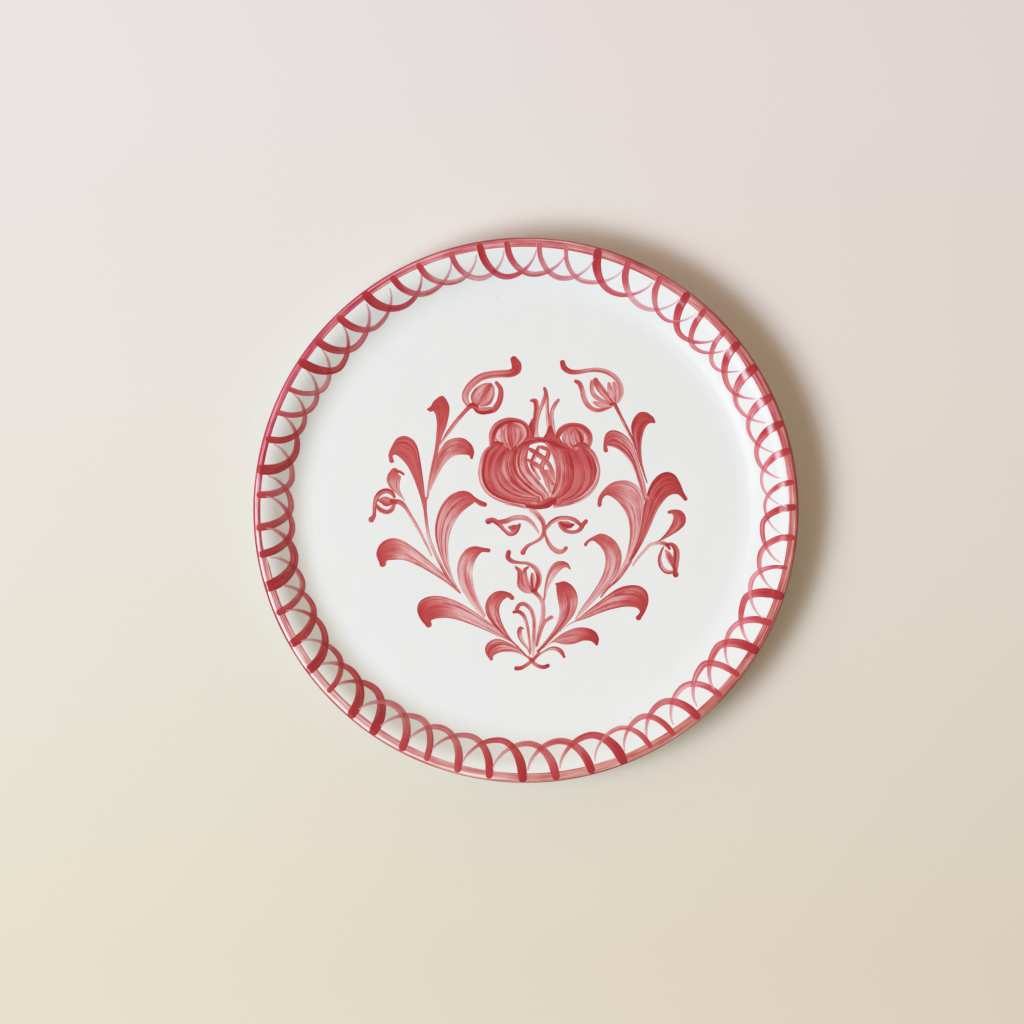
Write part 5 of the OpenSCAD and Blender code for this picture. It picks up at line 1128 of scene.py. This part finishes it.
def build_plate():
    """The glaze over the face and the back, the glaze inside the foot ring, and the bare clay."""
    surface = clay_surface()
    outer = np.vstack([moved_out(surface[:-2], GLAZE), sharp_coat(surface[-3:], GLAZE)[1:]])
    outer[0] = (0, WELL_HEIGHT)
    skin = spin(np.vstack([outer, surface[::-1]]))
    inside = FOOT_RADIUS - FOOT_WIDTH
    recess = np.array([(inside, FOOT_BARE), (inside, FOOT_RECESS), (0, FOOT_RECESS)])
    recess_skin = spin(np.vstack([recess[::-1], sharp_coat(recess, GLAZE)]))
    points, faces = join_parts([skin, recess_skin])
    new_piece("tin_glaze_skin", points, faces, "tin_glaze", glaze_material())
    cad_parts["clay_body"].data.materials.clear()
    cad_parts["clay_body"].data.materials.append(clay_material())


build_plate()
paint_motif(brush_material("brush paint", PAINT_STOPS, streak=0.52, under=0.06, outside=0.07))
# The loops take the red that is tinted for the cooler light on the wall
paint_border(brush_material("loop paint", COLD_LIT_WALL_STOPS, streak=0.26, under=0.16, outside=0.05))
paint_band(band_material())


# ---------------------------------------------------------------- stage, light and camera

FLOOR_SIZE = 6.0
FLOOR_STOPS = stops((0.0, 219, 209, 191), (0.5, 224, 216, 207), (1.0, 228, 218, 218))
FLOOR_TINT_REACH = 0.225
FLOOR_GRAIN_SCALE = 1800.0
FLOOR_ROUGHNESS = (0.7, 0.8)
FLOOR_RELIEF = 0.00005
FLOOR_IOR = 1.3


def stage_floor():
    """A pale floor, a little pinker beyond the plate's top and yellower below it."""
    bpy.ops.mesh.primitive_plane_add(size=FLOOR_SIZE)
    floor = bpy.context.object
    floor.name = "floor"
    graph = Graph("pale floor")
    place = graph.place()
    _, y, _ = graph.parts(place)
    colour = graph.ramp(graph.span(y, -FLOOR_TINT_REACH, FLOOR_TINT_REACH, 0.0, 1.0), FLOOR_STOPS)
    grain = graph.noise(place, FLOOR_GRAIN_SCALE)
    roughness = graph.span(grain, *MIDDLE, *FLOOR_ROUGHNESS)
    floor.data.materials.append(graph.finish(colour, roughness, graph.bump(grain, FLOOR_RELIEF), FLOOR_IOR))


KEY_AZIMUTH = 201.0
KEY_ELEVATION = 47.0
KEY_DISTANCE = 4.0
KEY_COLOUR = (0.744, 0.89, 1.0)
# A bright middle and a wide, dim surround: width, height and power
KEY_PANELS = [(1.6, 1.15, 94.0), (3.0, 2.2, 94.0)]
AMBIENT_COLOUR = (1.0, 0.76, 0.53, 1.0)
AMBIENT_STRENGTH = 0.43
AMBIENT_SLANT = 0.6


def light_room():
    """The soft light of the room, a little stronger from the plate's top side."""
    world = bpy.data.worlds.new("soft room")
    world.use_nodes = True
    nodes, links = world.node_tree.nodes, world.node_tree.links
    background = nodes["Background"]
    background.inputs["Color"].default_value = AMBIENT_COLOUR
    way = nodes.new("ShaderNodeSeparateXYZ")
    links.new(nodes.new("ShaderNodeTexCoord").outputs["Generated"], way.inputs[0])
    slant = nodes.new("ShaderNodeMath")
    slant.operation = "MULTIPLY_ADD"
    slant.inputs[1].default_value = AMBIENT_STRENGTH * AMBIENT_SLANT
    slant.inputs[2].default_value = AMBIENT_STRENGTH
    links.new(way.outputs["Y"], slant.inputs[0])
    links.new(slant.outputs[0], background.inputs["Strength"])
    bpy.context.scene.world = world


def light_key():
    """The soft main light, from the plate's left."""
    azimuth, elevation = math.radians(KEY_AZIMUTH), math.radians(KEY_ELEVATION)
    away = Vector((
        math.cos(elevation) * math.cos(azimuth), math.cos(elevation) * math.sin(azimuth), math.sin(elevation)
    ))
    for i, (width, height, power) in enumerate(KEY_PANELS):
        panel = bpy.data.lights.new(f"key_{i}", "AREA")
        panel.shape = "RECTANGLE"
        panel.size = width
        panel.size_y = height
        panel.energy = power
        panel.color = KEY_COLOUR
        lamp = bpy.data.objects.new(f"key_{i}", panel)
        lamp.location = away * KEY_DISTANCE
        lamp.rotation_euler = away.to_track_quat("Z", "Y").to_euler()
        bpy.context.scene.collection.objects.link(lamp)


# Metres: the width seen at the lip's height, and the point that the camera stands over
VIEW_WIDTH = 0.5097
VIEW_CENTRE = (-0.00695, -0.0009)
VIEW_REACH = 20.0
CAMERA_HEIGHT = 2.2
SENSOR = 36.0


def place_camera():
    """The camera straight above the plate, looking down."""
    data = bpy.data.cameras.new("camera")
    camera = bpy.data.objects.new("camera", data)
    lip_height = cad_box[1][2]
    data.sensor_width = SENSOR
    data.lens = SENSOR * (CAMERA_HEIGHT - lip_height) / VIEW_WIDTH
    data.clip_end = VIEW_REACH
    camera.location = (*VIEW_CENTRE, CAMERA_HEIGHT)
    bpy.context.scene.collection.objects.link(camera)
    bpy.context.scene.camera = camera


# Brightness before and after the camera's soft shoulder, between black and the brightest light
SHOULDER = [(0.2, 0.2), (0.4, 0.4), (0.6, 0.6), (0.82, 0.82), (0.96, 0.885), (1.3, 0.93)]
BRIGHTEST = 2.0


def soften_whites():
    """Rolls the brightest light off softly instead of clipping it."""
    settings = bpy.context.scene.view_settings
    settings.view_transform = "Standard"
    settings.use_curve_mapping = True
    mapping = settings.curve_mapping
    mapping.white_level = (BRIGHTEST, BRIGHTEST, BRIGHTEST)
    curve = mapping.curves[3]
    for before, after in SHOULDER:
        curve.points.new(before / BRIGHTEST, after)
    mapping.update()


stage_floor()
light_room()
light_key()
place_camera()
soften_whites()
